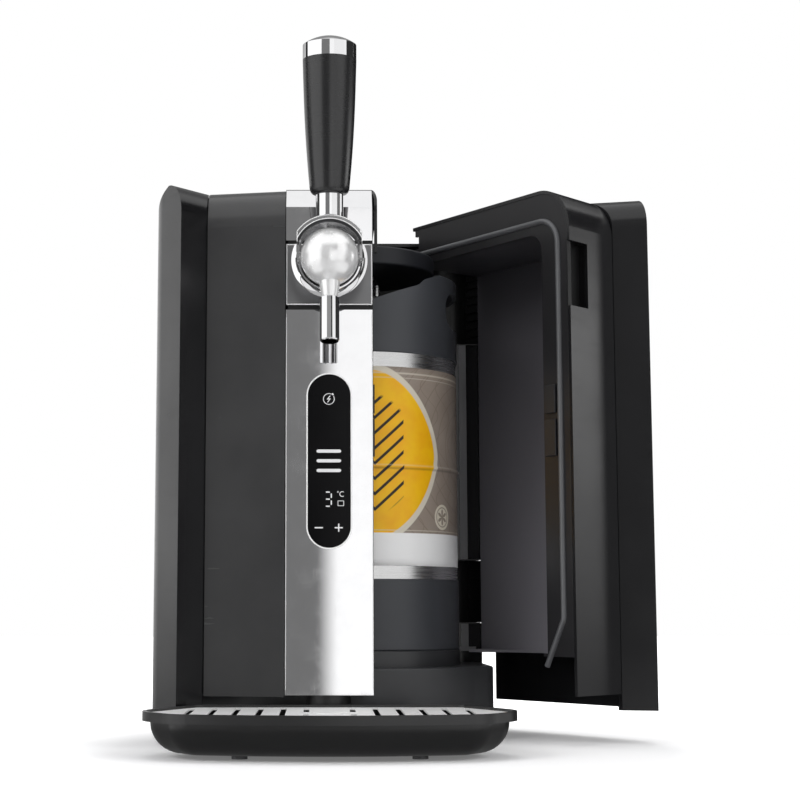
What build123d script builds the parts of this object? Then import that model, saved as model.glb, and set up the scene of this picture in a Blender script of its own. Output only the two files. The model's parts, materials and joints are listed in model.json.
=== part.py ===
"""Mini keg beer dispenser: a cooled keg bay with a swinging door, a chromed tap column and a drip tray.

Millimetres, +Z up. The origin is on the table under the centre foot, +X is to the right seen from the
front, and -Y is the front. The door is modelled in the closed door's own frame, which stands open here.
"""

from build123d import *
from math import asin, cos, radians, sin, sqrt
import os

os.makedirs("parts", exist_ok=True)

# --- overall sizes ---------------------------------------------------------------------------------
FACE_Y = -150.0            # front face of the chrome column
REAR_Y = 150.0             # back of the rear housing
SPLIT_Y = 58.0             # where the front shells and the door end
SEAM = 1.0                 # gap between neighbouring shells
SKIN = 3.0                 # wall of the outer shells
HALF_WIDTH = 147.0         # side of the front shells
REAR_HALF_WIDTH = 145.0    # side of the rear housing
ROOF_Z = 467.0             # top of the front shells
REAR_ROOF_Z = 461.0        # top of the rear housing
SIDE_BOTTOM_Z = 27.0       # lower edge of the side panels and the rear housing
PANEL_BOTTOM_Z = 40.6      # lower edge of the front panels

# --- front of the shells, in plan ------------------------------------------------------------------
PANEL_PROUD = 1.9          # how far a front panel's inner end stands ahead of the column face
PANEL_SEAM_X = 103.4       # seam between a front panel and its fin
PANEL_SEAM_BACK = 9.8      # how far that seam lies behind the column face
FIN_X = 123.0              # front edge of the fin
FIN_PROUD = 12.5           # how far the fin's edge stands ahead of the column face
CHEEK_BACK = 32.0          # where the side runs straight, behind the column face
CHEEK_ROUND = 42.0         # rounding of the side into the fin
FIN_TOP_ROUND = 27.0       # rounding of the fin from its front edge to the roof
PANEL_TOP_ROUND = 37.0     # rounding of the front panels into their roof
SHOULDER_IN = 11.5         # the side's shoulder, seen from the front: an arc from wall to roof
SHOULDER_RISE = 19.0

# --- column ----------------------------------------------------------------------------------------
COLUMN_HALF = 36.0         # half the column's width
PLATE_SKIN = 1.5           # wall of the chrome plates
PLATE_RETURN = 12.0        # depth of the plates' side returns
COLUMN_BOTTOM_Z = 41.7     # lower edge of the lower plate
LOWER_PLATE_TOP_Z = 358.5  # upper edge of the lower plate
TAP_PLATE_LOW_Z = 362.5    # lower edge of the tap plate
TAP_PLATE_TOP_Z = 414.3    # upper edge of the tap plate
CAP_LOW_Z = 417.3          # lower edge of the top cap
CAP_BEVEL_Z = 446.0        # where the cap's bevel starts
CAP_BEVEL_BACK = 14.0      # depth of the bevel
CAP_TOP_Z = 463.6          # upper edge of the bevel
CAP_DEPTH = 19.0           # depth of the top cap
COLUMN_DEPTH = 36.5        # depth of the column frame behind the face
FRAME_WALL = 2.5           # wall of the column frame
FRAME_GAP = 0.2            # gap between plates and frame
BOSS_R = 18.0              # round foot boss under the column
BOSS_LENGTH = 7.6
DISPLAY_HALF = 18.9        # half the display's width
DISPLAY_LOW_Z = 159.5
DISPLAY_TOP_Z = 305.3
BEZEL = 1.2                # width of the bright rim round the display

# --- keg -------------------------------------------------------------------------------------------
KEG_X = 27.0               # keg axis
KEG_Y = -20.0
KEG_R = 88.0               # steel body
KEG_FOOT_Z = 76.4          # where the keg stands
RING_TOP_Z = 136.5         # top of the black base ring
LABEL_LOW_Z = 147.5
LABEL_TOP_Z = 317.5
COLLAR_LOW_Z = 330.0       # lower edge of the black top collar
COLLAR_TOP_Z = 403.0
COLLAR_PROUD = 1.2         # collar and base ring stand this much proud of the body
COLLAR_WALL = 3.5
STEEL = 1.0                # steel wall
LABEL_GAP = 0.05
LABEL_SKIN = 0.4

# --- base ------------------------------------------------------------------------------------------
FOOT_H = 4.0
FOOT_R = 11.0
FOOT_X = 100.0
FOOT_FRONT_Y = -100.0
FOOT_REAR_Y = 125.0
PAN_HALF = 118.0           # half width of the recessed plinth
PAN_FRONT_Y = -121.0
DECK_HALF = 138.0          # half width of the deck
DECK_DOOR_SIDE = 142.0     # the deck's side under the door
DECK_TOP_Z = 62.5
DECK_FRONT_Y = -130.0      # front of the deck on the centre line
DECK_ARC = 184.0           # radius of the deck's bowed front
DECK_CORNER = 14.0
DECK_WALL = 3.0
PEDESTAL_R = 90.0

# --- keg bay ---------------------------------------------------------------------------------------
BAY_LEFT_X = -64.0         # inner face of the bay's left wall
BAY_FRONT_Y = -111.0       # inner face of the bay's front wall
BAY_REAR_Y = 73.5          # inner face of the bay's rear wall
BAY_TOP_Z = 433.0          # underside of the bay's ceiling
BAY_MOUTH_X = 37.6         # where the fixed bay ends
BAY_WALL = 2.5
HEAD_R = 69.0              # dispense head over the keg
HEAD_LOW_Z = 411.0
HEAD_TOP_Z = 427.0
HEAD_HOUSING_LEFT = -36.4
HEAD_HOUSING_RIGHT = 40.4
CURTAIN_Z = 436.5          # lower edge of the head housing's right wall over the bay
CHEEK_LOW_Z = 408.0        # lower edge of the head housing beside the tap

# --- cooling ---------------------------------------------------------------------------------------
COLD_HALF = 44.0
COLD_LOW_Z = 150.0
COLD_TOP_Z = 330.0
COLD_GAP = 0.6             # gap between the keg and the cold plate
COLD_REAR_Y = 76.0
PELTIER = 40.0
PELTIER_T = 4.0
SINK_BASE = 6.0
SINK_DEPTH = 26.0
SINK_HALF = 52.0
SINK_LOW_Z = 178.0
SINK_TOP_Z = 302.0
FAN_SIZE = 92.0
FAN_DEPTH = 25.0
FAN_BORE = 43.5
FAN_BLADE_R = 42.0
FAN_HUB_R = 19.0
FAN_Z = (COLD_LOW_Z + COLD_TOP_Z) / 2
FAN_BLADES = 7

# --- tap -------------------------------------------------------------------------------------------
BALL_Y = FACE_Y - 48.0     # centre of the tap ball
BALL_Z = 393.0
BALL_R = 23.6
DISH_IN_R = 25.6           # hollow of the dish round the ball
DISH_RIM_R = 31.0
DISH_ROUND = 8.0           # the rim's rounded face
DISH_RIM_BACK = 7.0        # rim behind the ball's centre
BARREL_R = 20.0
HOOD_IN_R = 26.5
HOOD_R = 32.3
HOOD_HALF = 24.5           # half width of the hood
HOOD_AHEAD = 12.0
HOOD_BACK = 12.0
HOOD_LOW = 8.0             # lower edge of the hood above the ball's centre
YOKE_OUT = 26.4            # outer face of the yoke's ears
YOKE_GAP = 0.6             # between ears and ball
YOKE_R = 5.0
PIN_R = 2.5
RUN_GAP = 0.05             # running clearance of pins
LEAN = 4.0                 # the handle leans forward
STEM_R = 11.2
GRIP_LOW = 50.5            # distances along the handle from the ball's centre
GRIP_TOP = 160.7
GRIP_LOW_R = 16.0
GRIP_TOP_R = 21.8
CAP_RING = 12.0
HANDLE_TOP = 180.0
SPOUT_TILT = 10.0
NECK_TOP = 21.0            # distances along the spout from the ball's centre
NECK_R = 8.5
NOZZLE_TOP = 35.2
NOZZLE_R = 7.9
NOZZLE_BORE = 5.6
SPOUT_END = 72.0
BEER_BORE = 3.2
TUBE_R = 3.0
PLUNGER_R = 3.0
PLUNGER_Y = FACE_Y - 14.0
SLIDE_GAP = 0.08

# --- door ------------------------------------------------------------------------------------------
DOOR_OPEN = 35.3           # how far the door stands open
HINGE_X = 120.0
HINGE_Y = 100.0
HINGE_CLEAR_R = 41.0       # the body stays inside this radius about the hinge
DOOR_KEEP_R = 42.0         # the door stays outside it
MOUTH_X = 41.0             # free edge of the door
CAVITY_FRONT_Y = -117.0    # inner face of the liner's front wall
CAVITY_SIDE_X = 120.0      # inner face of the liner's side wall
CAVITY_LOW_Z = 74.5
CAVITY_TOP_Z = 430.0
CAVITY_ROUND = 15.0
LINER = 2.5
GASKET_W = 5.0
GASKET_H = 2.8
GASKET_Y = FACE_Y + 12.5
GASKET_Z = 440.0
RECESS_X = 66.0            # inner end of the door pull
RECESS_LOW_Z = 362.5
RECESS_TOP_Z = 418.0
PULL_DEPTH = 16.0
HINGE_PIN_R = 4.0
HINGE_BARREL_R = 20.0
ARM_INNER = 4.0            # inner face of the arm's bar, outward of the hinge axis
ARM_LOWER = (99.0, 157.0)  # heights of the two hinge arms
ARM_UPPER = (363.0, 441.0)
ARM_END_Y = 20.0           # front end of the arms inside the door
ARM_PAD = 30.0             # length of the pad screwed to the door's side
LUG_R = 12.0
LUG_T = 12.0
LUG_GAP = 0.5
BRACKET_Y = 123.0          # front of the brackets' back plate
BRACKET_T = 4.0
SLOT_X = 104.0              # inner end of the slots for the arms
SLOT_GAP = 0.8             # room for the arms in the rear housing
MAGNET_LOW = (238.0, 269.0)
MAGNET_HIGH = (274.0, 298.0)
MAGNET_Y = (-133.0, -117.0)

# --- drip tray -------------------------------------------------------------------------------------
TRAY_FRONT_Y = -300.0
TRAY_BACK_Y = -153.3
TRAY_HALF = 141.5
TRAY_BOW = 374.0           # radius of the tray's bowed front
RIM_TOP_Z = 34.5
RIM_H = 7.2
RIM_WALL = 3.0
BOWL_INSET = 6.0
BOWL_WALL = 2.2
BOWL_LOW_Z = 3.0
BOWL_ROUND = 24.0
TRAY_FOOT_R = 6.0
TRAY_FOOT_X = 67.5
GRILLE_T = 1.2
GRILLE_GAP = 0.3


def save(piece, name):
    """Label a finished piece and write it to its own file."""
    piece.part.label = name
    export_step(piece.part, f"parts/{name}.step")


def within(frame, plane):
    """A plane given in a frame's own axes."""
    return Plane(frame.location * plane.location)


def outline_prism(points, low, high, radii=None, mode=Mode.ADD, plane=Plane.XY):
    """Extrude an outline, its corners sharp or rounded, from one level of the plane to another."""
    with BuildSketch(plane.offset(low)) as outline:
        with BuildLine():
            if radii:
                FilletPolyline(*points, radius=radii, close=True)
            else:
                Polyline(*points, close=True)
        make_face()
    extrude(outline.sketch, amount=high - low, mode=mode)


def block(x, y, z, mode=Mode.ADD, plane=Plane.XY):
    """A box between pairs of limits in the plane's own axes."""
    with BuildSketch(plane.offset(z[0])) as outline:
        with Locations(((x[0] + x[1]) / 2, (y[0] + y[1]) / 2)):
            Rectangle(x[1] - x[0], y[1] - y[0])
    extrude(outline.sketch, amount=z[1] - z[0], mode=mode)


def disc(radius, low, high, mode=Mode.ADD, plane=Plane.XY, at=((0, 0),)):
    """Circles extruded from one level of the plane to another."""
    with BuildSketch(plane.offset(low)) as outline:
        with Locations(*at):
            Circle(radius)
    extrude(outline.sketch, amount=high - low, mode=mode)


def inset(points, gap):
    """The open path moved to its left by the gap, with mitred corners."""
    directions = [(Vector(b) - Vector(a)).normalized() for a, b in zip(points, points[1:])]
    normals = [Vector(-d.Y, d.X) for d in directions]
    moved = [Vector(points[0]) + normals[0] * gap]
    for corner, before, after in zip(points[1:], normals, normals[1:]):
        moved.append(Vector(corner) + (before + after) * (gap / (1 + before.dot(after))))
    moved.append(Vector(points[-1]) + normals[-1] * gap)
    return [(p.X, p.Y) for p in moved]


# --- frames and places -----------------------------------------------------------------------------
FAR = 200.0                # beyond every wall, for cutting shapes
HINGE = (HINGE_X, HINGE_Y)
TO_HINGE = Location((HINGE_X, HINGE_Y, 0))
FROM_HINGE = Location((-HINGE_X, -HINGE_Y, 0))
DOOR_SWING = TO_HINGE * Location((0, 0, 0), (0, 0, DOOR_OPEN)) * FROM_HINGE
DOOR = Plane(DOOR_SWING)
KEG = (KEG_X, KEG_Y)
AT_KEG = Plane(origin=(KEG_X, KEG_Y, 0))
BALL = Plane(origin=(0, BALL_Y, BALL_Z), x_dir=(1, 0, 0), z_dir=(0, 0, 1))
TAP_AXIS = Plane(origin=(0, BALL_Y, BALL_Z), x_dir=(1, 0, 0), z_dir=(0, 1, 0))
ACROSS_BALL = Plane(origin=(0, BALL_Y, BALL_Z), x_dir=(0, 1, 0), z_dir=(1, 0, 0))
BEHIND_TAP = Plane(origin=(0, 0, BALL_Z), x_dir=(1, 0, 0), z_dir=(0, 1, 0))
LEVER_AXIS = (0, -sin(radians(LEAN)), cos(radians(LEAN)))
SPOUT_AXIS = (0, -sin(radians(SPOUT_TILT)), -cos(radians(SPOUT_TILT)))
LEVER = Plane(origin=(0, BALL_Y, BALL_Z), x_dir=(1, 0, 0), z_dir=LEVER_AXIS)
SPOUT = Plane(origin=(0, BALL_Y, BALL_Z), x_dir=(1, 0, 0), z_dir=SPOUT_AXIS)
FAN_AXIS = Plane(origin=(KEG_X, 0, FAN_Z), x_dir=(1, 0, 0), z_dir=(0, 1, 0))

PANEL_IN = (MOUTH_X, FACE_Y - PANEL_PROUD)
PANEL_OUT = (PANEL_SEAM_X, FACE_Y + PANEL_SEAM_BACK)
FIN_EDGE = (FIN_X, FACE_Y - FIN_PROUD)
CHEEK = (HALF_WIDTH, FACE_Y + CHEEK_BACK)
FRAME_HALF = COLUMN_HALF - PLATE_SKIN - FRAME_GAP
FRAME_FRONT_Y = FACE_Y + PLATE_SKIN
FRAME_BACK_Y = FACE_Y + COLUMN_DEPTH
SIDE_GAP = 0.3             # room between the deck and what stands beside it


# --- shells: outer forms and their hollows ---------------------------------------------------------
def panel_form(inner_x, outer_x, gap, bottom, back_y, frame, side):
    """A front panel with its roof as one block, or its hollow where gap is the skin."""
    along = (Vector(PANEL_OUT) - Vector(PANEL_IN)).normalized()
    face = Plane(
        origin=(side * PANEL_IN[0], PANEL_IN[1], 0),
        x_dir=(-side * along.Y, along.X, 0),
        z_dir=(along.X, side * along.Y, 0),
    )
    top = ROOF_Z - gap
    section = [(gap, bottom), (gap, top), (2 * FAR, top), (2 * FAR, bottom)]
    with BuildPart() as form:
        outline_prism(section, -FAR, FAR, [0, PANEL_TOP_ROUND - gap, 0, 0], plane=within(frame, face))
        across = sorted((side * inner_x, side * outer_x))
        block(across, (-FAR, back_y), (bottom, top), Mode.INTERSECT, frame)
    return form.part


def shoulder(wall_x, inward, rise, gap, frame=Plane.XY, side=1):
    """Keep what lies under the roof and its shoulder, an arc from the wall to the roof's edge."""
    radius = (inward**2 + rise**2) / (2 * inward)
    turn = asin((rise - gap) / (radius - gap))
    arc = []
    for angle in (0, turn / 2, turn):
        reach = wall_x - radius + (radius - gap) * cos(angle)
        arc.append((side * reach, ROOF_Z - rise + (radius - gap) * sin(angle)))
    with BuildSketch(within(frame, Plane.XZ).offset(-FAR)) as outline:
        with BuildLine():
            ThreePointArc(*arc)
            Polyline(arc[2], (-side * FAR, arc[2][1]), (-side * FAR, -1), (arc[0][0], -1), arc[0])
        make_face()
    extrude(outline.sketch, amount=2 * FAR, mode=Mode.INTERSECT)


def fin_form(gap, start_x, bottom, back_y, frame, side):
    """A side panel with its fin as one block, or its hollow where gap is the skin."""
    path = inset([PANEL_OUT, FIN_EDGE, CHEEK, (HALF_WIDTH, back_y)], gap)
    outline = [(start_x, path[0][1])] + path[1 if gap == 0 else 0:] + [(start_x, back_y)]
    radii = [0] * (len(outline) - 3) + [CHEEK_ROUND - gap, 0, 0]
    top = ROOF_Z - gap
    along = (Vector(FIN_EDGE) - Vector(PANEL_OUT)).normalized()
    face = Plane(
        origin=(side * FIN_EDGE[0], FIN_EDGE[1], 0),
        x_dir=(-side * along.Y, along.X, 0),
        z_dir=(along.X, side * along.Y, 0),
    )
    section = [(gap, bottom), (gap, top), (2 * FAR, top), (2 * FAR, bottom)]
    with BuildPart() as form:
        outline_prism([(side * x, y) for x, y in outline], bottom, top, radii, plane=frame)
        rounds = [0, FIN_TOP_ROUND - gap, 0, 0]
        outline_prism(section, -FAR, FAR, rounds, Mode.INTERSECT, within(frame, face))
        shoulder(HALF_WIDTH, SHOULDER_IN, SHOULDER_RISE, gap, frame, side)
    return form.part


def seam_strip(frame, side):
    """The lip behind the seam: it backs the front panel and its roof and belongs to the side panel."""
    edges = (PANEL_SEAM_X - 9, PANEL_SEAM_X + 2)
    outer = panel_form(*edges, SKIN, PANEL_BOTTOM_Z + 2, SPLIT_Y - 2, frame, side)
    inner = panel_form(PANEL_SEAM_X - 10, PANEL_SEAM_X + 3, SKIN + 2, 0, SPLIT_Y, frame, side)
    with BuildPart() as strip:
        add(outer)
        add(inner, mode=Mode.SUBTRACT)
    return strip.part


def front_panel(inner_x, frame, side):
    """A front panel with its roof: the outer form less the hollow behind it."""
    outer_x = PANEL_SEAM_X - SEAM
    outer = panel_form(inner_x, outer_x, 0, PANEL_BOTTOM_Z, SPLIT_Y, frame, side)
    hollow = panel_form(inner_x - 9, outer_x + 9, SKIN, 0, SPLIT_Y + 9, frame, side)
    with BuildPart() as panel:
        add(outer)
        add(hollow, mode=Mode.SUBTRACT)
    return panel.part


def side_panel(back_y, frame, side):
    """A side panel with its fin and the lip behind the seam."""
    outer = fin_form(0, PANEL_SEAM_X, SIDE_BOTTOM_Z, back_y, frame, side)
    hollow = fin_form(SKIN, PANEL_SEAM_X - 9, 0, back_y + 9, frame, side)
    strip = seam_strip(frame, side)
    with BuildPart() as panel:
        add(outer)
        add(hollow, mode=Mode.SUBTRACT)
        add(strip)
    return panel.part


def shell_room(inner_x, gap, back_y, frame, side):
    """The room behind a front panel and its side panel, less a gap."""
    outer_x = PANEL_SEAM_X + 4
    behind = panel_form(inner_x, outer_x, SKIN + gap, PANEL_BOTTOM_Z, back_y, frame, side)
    beside = fin_form(SKIN + gap, PANEL_SEAM_X + 2 + gap, PANEL_BOTTOM_Z, back_y, frame, side)
    strip = seam_strip(frame, side)
    with BuildPart() as room:
        add(behind)
        add(beside)
        add(strip, mode=Mode.SUBTRACT)
    return room.part


# --- base ------------------------------------------------------------------------------------------
with BuildPart() as base_feet:
    corners = [(x, y) for x in (-FOOT_X, FOOT_X) for y in (FOOT_FRONT_Y, FOOT_REAR_Y)]
    disc(FOOT_R, 0, FOOT_H, at=corners + [(0, 0)])
    chamfer(base_feet.edges().filter_by(GeomType.CIRCLE).group_by(Axis.Z)[0], 0.8)
save(base_feet, "base_feet")

PLINTH_REAR_Y = 140.0
FLANGE_Z = SIDE_BOTTOM_Z - DECK_WALL
FLANGE_HALF = DECK_HALF - 2
SHELL_IN = HALF_WIDTH - SKIN
with BuildPart() as base_pan:
    block((-PAN_HALF, PAN_HALF), (PAN_FRONT_Y, PLINTH_REAR_Y), (FOOT_H, SIDE_BOTTOM_Z))
    fillet(base_pan.edges().filter_by(Axis.Z), 18)
    fillet(base_pan.faces().sort_by(Axis.Z)[0].edges(), 6)
    room_x = (-PAN_HALF + SKIN, PAN_HALF - SKIN)
    block(room_x, (PAN_FRONT_Y + SKIN, PLINTH_REAR_Y - SKIN), (FOOT_H + SKIN, FAR), Mode.SUBTRACT)
    with BuildSketch(Plane.XY.offset(FLANGE_Z)):
        with BuildLine():
            FilletPolyline(
                (-FLANGE_HALF, CHEEK[1] + 50),
                (-PAN_HALF + 8, PAN_FRONT_Y + 14),
                (PAN_HALF - 8, PAN_FRONT_Y + 14),
                (FLANGE_HALF, CHEEK[1] + 50),
                (FLANGE_HALF, REAR_Y - SKIN),
                (-FLANGE_HALF, REAR_Y - SKIN),
                radius=[10, 10, 10, 10, 16, 16],
                close=True,
            )
        make_face()
        with Locations((0, (PAN_FRONT_Y + PLINTH_REAR_Y) / 2)):
            Rectangle(2 * (PAN_HALF - SKIN), PLINTH_REAR_Y - PAN_FRONT_Y - 2 * SKIN, mode=Mode.SUBTRACT)
    extrude(amount=SIDE_BOTTOM_Z - FLANGE_Z)
    rear_in = REAR_HALF_WIDTH - SKIN
    deck_side = DECK_HALF + SIDE_GAP
    block((-SHELL_IN, -FLANGE_HALF), (-40, SPLIT_Y - 20), (FLANGE_Z, SIDE_BOTTOM_Z))
    block((-SHELL_IN, -deck_side), (-40, SPLIT_Y - 20), (FLANGE_Z, SIDE_BOTTOM_Z + 2))
    block((-rear_in, rear_in), (SPLIT_Y + 25, REAR_Y - 24), (FLANGE_Z, SIDE_BOTTOM_Z))
    flange_z = (FLANGE_Z - 1, SIDE_BOTTOM_Z + 1)
    block(room_x, (SPLIT_Y, REAR_Y - SKIN * 3), flange_z, Mode.SUBTRACT)
    block((-rear_in, -deck_side), (SPLIT_Y + 25, REAR_Y - 24), (FLANGE_Z, SIDE_BOTTOM_Z + 2))
    block((deck_side, rear_in), (SPLIT_Y + 25, REAR_Y - 24), (FLANGE_Z, SIDE_BOTTOM_Z + 2))
save(base_pan, "base_pan")


def deck_outline():
    """The deck in plan: a bowed front between two rounded corners."""
    bow_x = 124.0
    bow_y = DECK_FRONT_Y + DECK_ARC - sqrt(DECK_ARC**2 - bow_x**2)
    corner_y = bow_y + 14.3
    with BuildLine() as outline:
        ThreePointArc((-bow_x, bow_y), (0, DECK_FRONT_Y), (bow_x, bow_y))
        Polyline(
            (bow_x, bow_y),
            (DECK_DOOR_SIDE, corner_y),
            (DECK_DOOR_SIDE, SPLIT_Y - 16),
            (DECK_HALF, SPLIT_Y - 12),
            (DECK_HALF, PLINTH_REAR_Y),
            (-DECK_HALF, PLINTH_REAR_Y),
            (-DECK_HALF, corner_y),
            (-bow_x, bow_y),
        )
    make_face(outline.edges())


with BuildPart() as base_deck:
    with BuildSketch(Plane.XY.offset(SIDE_BOTTOM_Z)) as deck_plan:
        deck_outline()
        rows = deck_plan.vertices().group_by(Axis.Y)
        fillet(rows[1] + rows[-1], DECK_CORNER)
    extrude(amount=DECK_TOP_Z - SIDE_BOTTOM_Z)
    fillet(base_deck.faces().sort_by(Axis.Z)[-1].edges(), 2)
    with BuildSketch(Plane.XY.offset(SIDE_BOTTOM_Z - 1)) as deck_hollow:
        deck_outline()
        rows = deck_hollow.vertices().group_by(Axis.Y)
        fillet(rows[1] + rows[-1], DECK_CORNER)
        offset(amount=-DECK_WALL, mode=Mode.REPLACE)
    extrude(amount=DECK_TOP_Z - SIDE_BOTTOM_Z - DECK_WALL + 1, mode=Mode.SUBTRACT)
    disc(PEDESTAL_R, DECK_TOP_Z, KEG_FOOT_Z, at=(KEG,))
    fillet(base_deck.edges().filter_by(GeomType.CIRCLE).group_by(Axis.Z)[-1], 1)
    disc(PEDESTAL_R - DECK_WALL, DECK_TOP_Z - DECK_WALL, KEG_FOOT_Z - DECK_WALL, Mode.SUBTRACT, at=(KEG,))
save(base_deck, "base_deck")

# --- column ----------------------------------------------------------------------------------------
CAP_SECTION = [
    (FACE_Y, CAP_LOW_Z),
    (FACE_Y, CAP_BEVEL_Z),
    (FACE_Y + CAP_BEVEL_BACK, CAP_TOP_Z),
    (FACE_Y + CAP_DEPTH, CAP_TOP_Z),
]
DISPLAY_MID_Z = (DISPLAY_LOW_Z + DISPLAY_TOP_Z) / 2
DISPLAY_LENGTH = DISPLAY_TOP_Z - DISPLAY_LOW_Z
DECK_NOTCH_Y = DECK_FRONT_Y - 1
TUBE_HIGH_Z = 448.0
TUBE_DROP_Y = (FRAME_FRONT_Y + FRAME_BACK_Y) / 2


def capsule(margin, low, high, mode=Mode.ADD):
    """A capsule standing upright on the display's middle, between two depths behind the face."""
    with BuildSketch(Plane.XZ.offset(-FACE_Y - high)) as outline:
        with Locations((0, DISPLAY_MID_Z)):
            SlotOverall(DISPLAY_LENGTH + 2 * margin, 2 * (DISPLAY_HALF + margin), rotation=90)
    extrude(outline.sketch, amount=high - low, mode=mode)


def column_plate(low, high):
    """A chrome plate folded back along both sides of the column."""
    block((-COLUMN_HALF, COLUMN_HALF), (FACE_Y, FACE_Y + PLATE_RETURN), (low, high))
    inner = COLUMN_HALF - PLATE_SKIN
    block((-inner, inner), (FACE_Y + PLATE_SKIN, 0), (low - 1, high + 1), Mode.SUBTRACT)


with BuildPart() as column_lower_plate:
    column_plate(COLUMN_BOTTOM_Z, LOWER_PLATE_TOP_Z)
    capsule(0, -5, 10, Mode.SUBTRACT)
save(column_lower_plate, "column_lower_plate")

with BuildPart() as column_tap_plate:
    column_plate(TAP_PLATE_LOW_Z, TAP_PLATE_TOP_Z)
    disc(TUBE_R + 0.5, FACE_Y - 9, FACE_Y + 9, Mode.SUBTRACT, BEHIND_TAP)
save(column_tap_plate, "column_tap_plate")

with BuildPart() as column_cap:
    inner_section = inset(CAP_SECTION, -PLATE_SKIN)
    outline_prism(CAP_SECTION + inner_section[::-1], -COLUMN_HALF, COLUMN_HALF, plane=Plane.YZ)
save(column_cap, "column_cap")

with BuildPart() as column_frame:
    block((-FRAME_HALF, FRAME_HALF), (FRAME_FRONT_Y, FRAME_BACK_Y), (COLUMN_BOTTOM_Z, ROOF_Z - SKIN))
    inside = FRAME_HALF - FRAME_WALL
    hollow_y = (FRAME_FRONT_Y + FRAME_WALL, FRAME_BACK_Y - FRAME_WALL)
    block((-inside, inside), hollow_y, (COLUMN_BOTTOM_Z + 4, FAR * 3), Mode.SUBTRACT)
    block((-FAR, FAR), (-FAR, FACE_Y + CAP_DEPTH + 1), (CAP_BEVEL_Z - 3, FAR * 3), Mode.SUBTRACT)
    block((-FAR, FAR), (DECK_NOTCH_Y, 0), (0, DECK_TOP_Z), Mode.SUBTRACT)
    capsule(-3, -5, 10, Mode.SUBTRACT)
    disc(TUBE_R + 0.5, FACE_Y, FACE_Y + 9, Mode.SUBTRACT, BEHIND_TAP)
    block((-8, 8), (FRAME_BACK_Y - 9, FRAME_BACK_Y + 9), (TUBE_HIGH_Z - 8, FAR * 3), Mode.SUBTRACT)
    disc(BOSS_R, COLUMN_BOTTOM_Z - BOSS_LENGTH, COLUMN_BOTTOM_Z, at=((0, FACE_Y + BOSS_R - 3),))
    block((-FAR, FAR), (DECK_NOTCH_Y, 0), (0, COLUMN_BOTTOM_Z), Mode.SUBTRACT)
save(column_frame, "column_frame")

with BuildPart() as display_bezel:
    capsule(-0.05, -0.6, PLATE_SKIN)
    capsule(-BEZEL, -5, 10, Mode.SUBTRACT)
save(display_bezel, "display_bezel")

with BuildPart() as display_glass:
    capsule(-BEZEL - 0.05, -0.2, PLATE_SKIN)
save(display_glass, "display_glass")

with BuildPart() as control_board:
    board_y = FRAME_FRONT_Y + FRAME_WALL
    block((-28, 28), (board_y, board_y + 1.6), (150, 320))
    for z in (170, 205, 255):
        block((-8, 8), (board_y + 1.6, board_y + 4.6), (z - 8, z + 8))
    for x in (-20, 20):
        block((x - 5, x + 5), (board_y + 1.6, board_y + 9.6), (296, 312))
save(control_board, "control_board")

# --- head housing over the bay ---------------------------------------------------------------------
HEAD_FRONT_Y = FACE_Y + 4
CURTAIN_X = BAY_MOUTH_X + 0.3
LEDGE_Z = 446.0
CORNER_IN = 4.7            # the housing's right shoulder
CORNER_RISE = 14.0
HOUSING_WALL = 2.5
with BuildPart() as housing_room:
    ceiling_z = ROOF_Z - SKIN
    inner = [(HEAD_FRONT_Y - 9, 0), (HEAD_FRONT_Y - 9, ceiling_z)]
    inner += [(SPLIT_Y + 9, ceiling_z), (SPLIT_Y + 9, 0)]
    outline_prism(inner, HEAD_HOUSING_LEFT + 2, HEAD_HOUSING_RIGHT - HOUSING_WALL, plane=Plane.YZ)
    shoulder(HEAD_HOUSING_RIGHT, CORNER_IN, CORNER_RISE, HOUSING_WALL)

with BuildPart() as head_housing:
    section = [(HEAD_FRONT_Y, CHEEK_LOW_Z), (HEAD_FRONT_Y, ROOF_Z)]
    section += [(SPLIT_Y, ROOF_Z), (SPLIT_Y, CHEEK_LOW_Z)]
    outline_prism(section, HEAD_HOUSING_LEFT, HEAD_HOUSING_RIGHT, [0, 24, 0, 0], plane=Plane.YZ)
    shoulder(HEAD_HOUSING_RIGHT, CORNER_IN, CORNER_RISE, 0)
    add(housing_room.part, mode=Mode.SUBTRACT)
    block((HEAD_HOUSING_LEFT - 1, 0), (-FAR, FAR), (0, 455), Mode.SUBTRACT)
    block((COLUMN_HALF - 2, FAR), (HEAD_FRONT_Y + 5, FAR), (0, LEDGE_Z), Mode.SUBTRACT)
    over_column = (HEAD_HOUSING_LEFT - 1, COLUMN_HALF + 0.3)
    block(over_column, (-FAR, FACE_Y + CAP_DEPTH), (0, FAR * 3), Mode.SUBTRACT)
    block((CURTAIN_X - 2.5, HEAD_HOUSING_RIGHT), (FACE_Y + CAP_DEPTH + 1, SPLIT_Y), (LEDGE_Z, LEDGE_Z + 2.5))
    block((CURTAIN_X - 2.5, CURTAIN_X), (FRAME_BACK_Y + 3, SPLIT_Y), (CURTAIN_Z, LEDGE_Z))
save(head_housing, "head_housing")

# --- fixed left shells -----------------------------------------------------------------------------
left_panel = front_panel(-HEAD_HOUSING_LEFT + 0.2, Plane.XY, -1)
left_side = side_panel(SPLIT_Y, Plane.XY, -1)
with BuildPart() as left_front_panel:
    add(left_panel)
save(left_front_panel, "left_front_panel")

with BuildPart() as left_side_panel:
    add(left_side)
save(left_side_panel, "left_side_panel")

# --- rear housing ----------------------------------------------------------------------------------
REAR_FRONT_Y = SPLIT_Y + SEAM
JAMB_X = 118.2
INLET_X = -108.5
INLET_Z = 90.0
INLET = (20.0, 27.0)       # opening for the power inlet, across and up
WINDOW_HALF = 92.0
WINDOW_Z = (60.0, 420.0)


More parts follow.
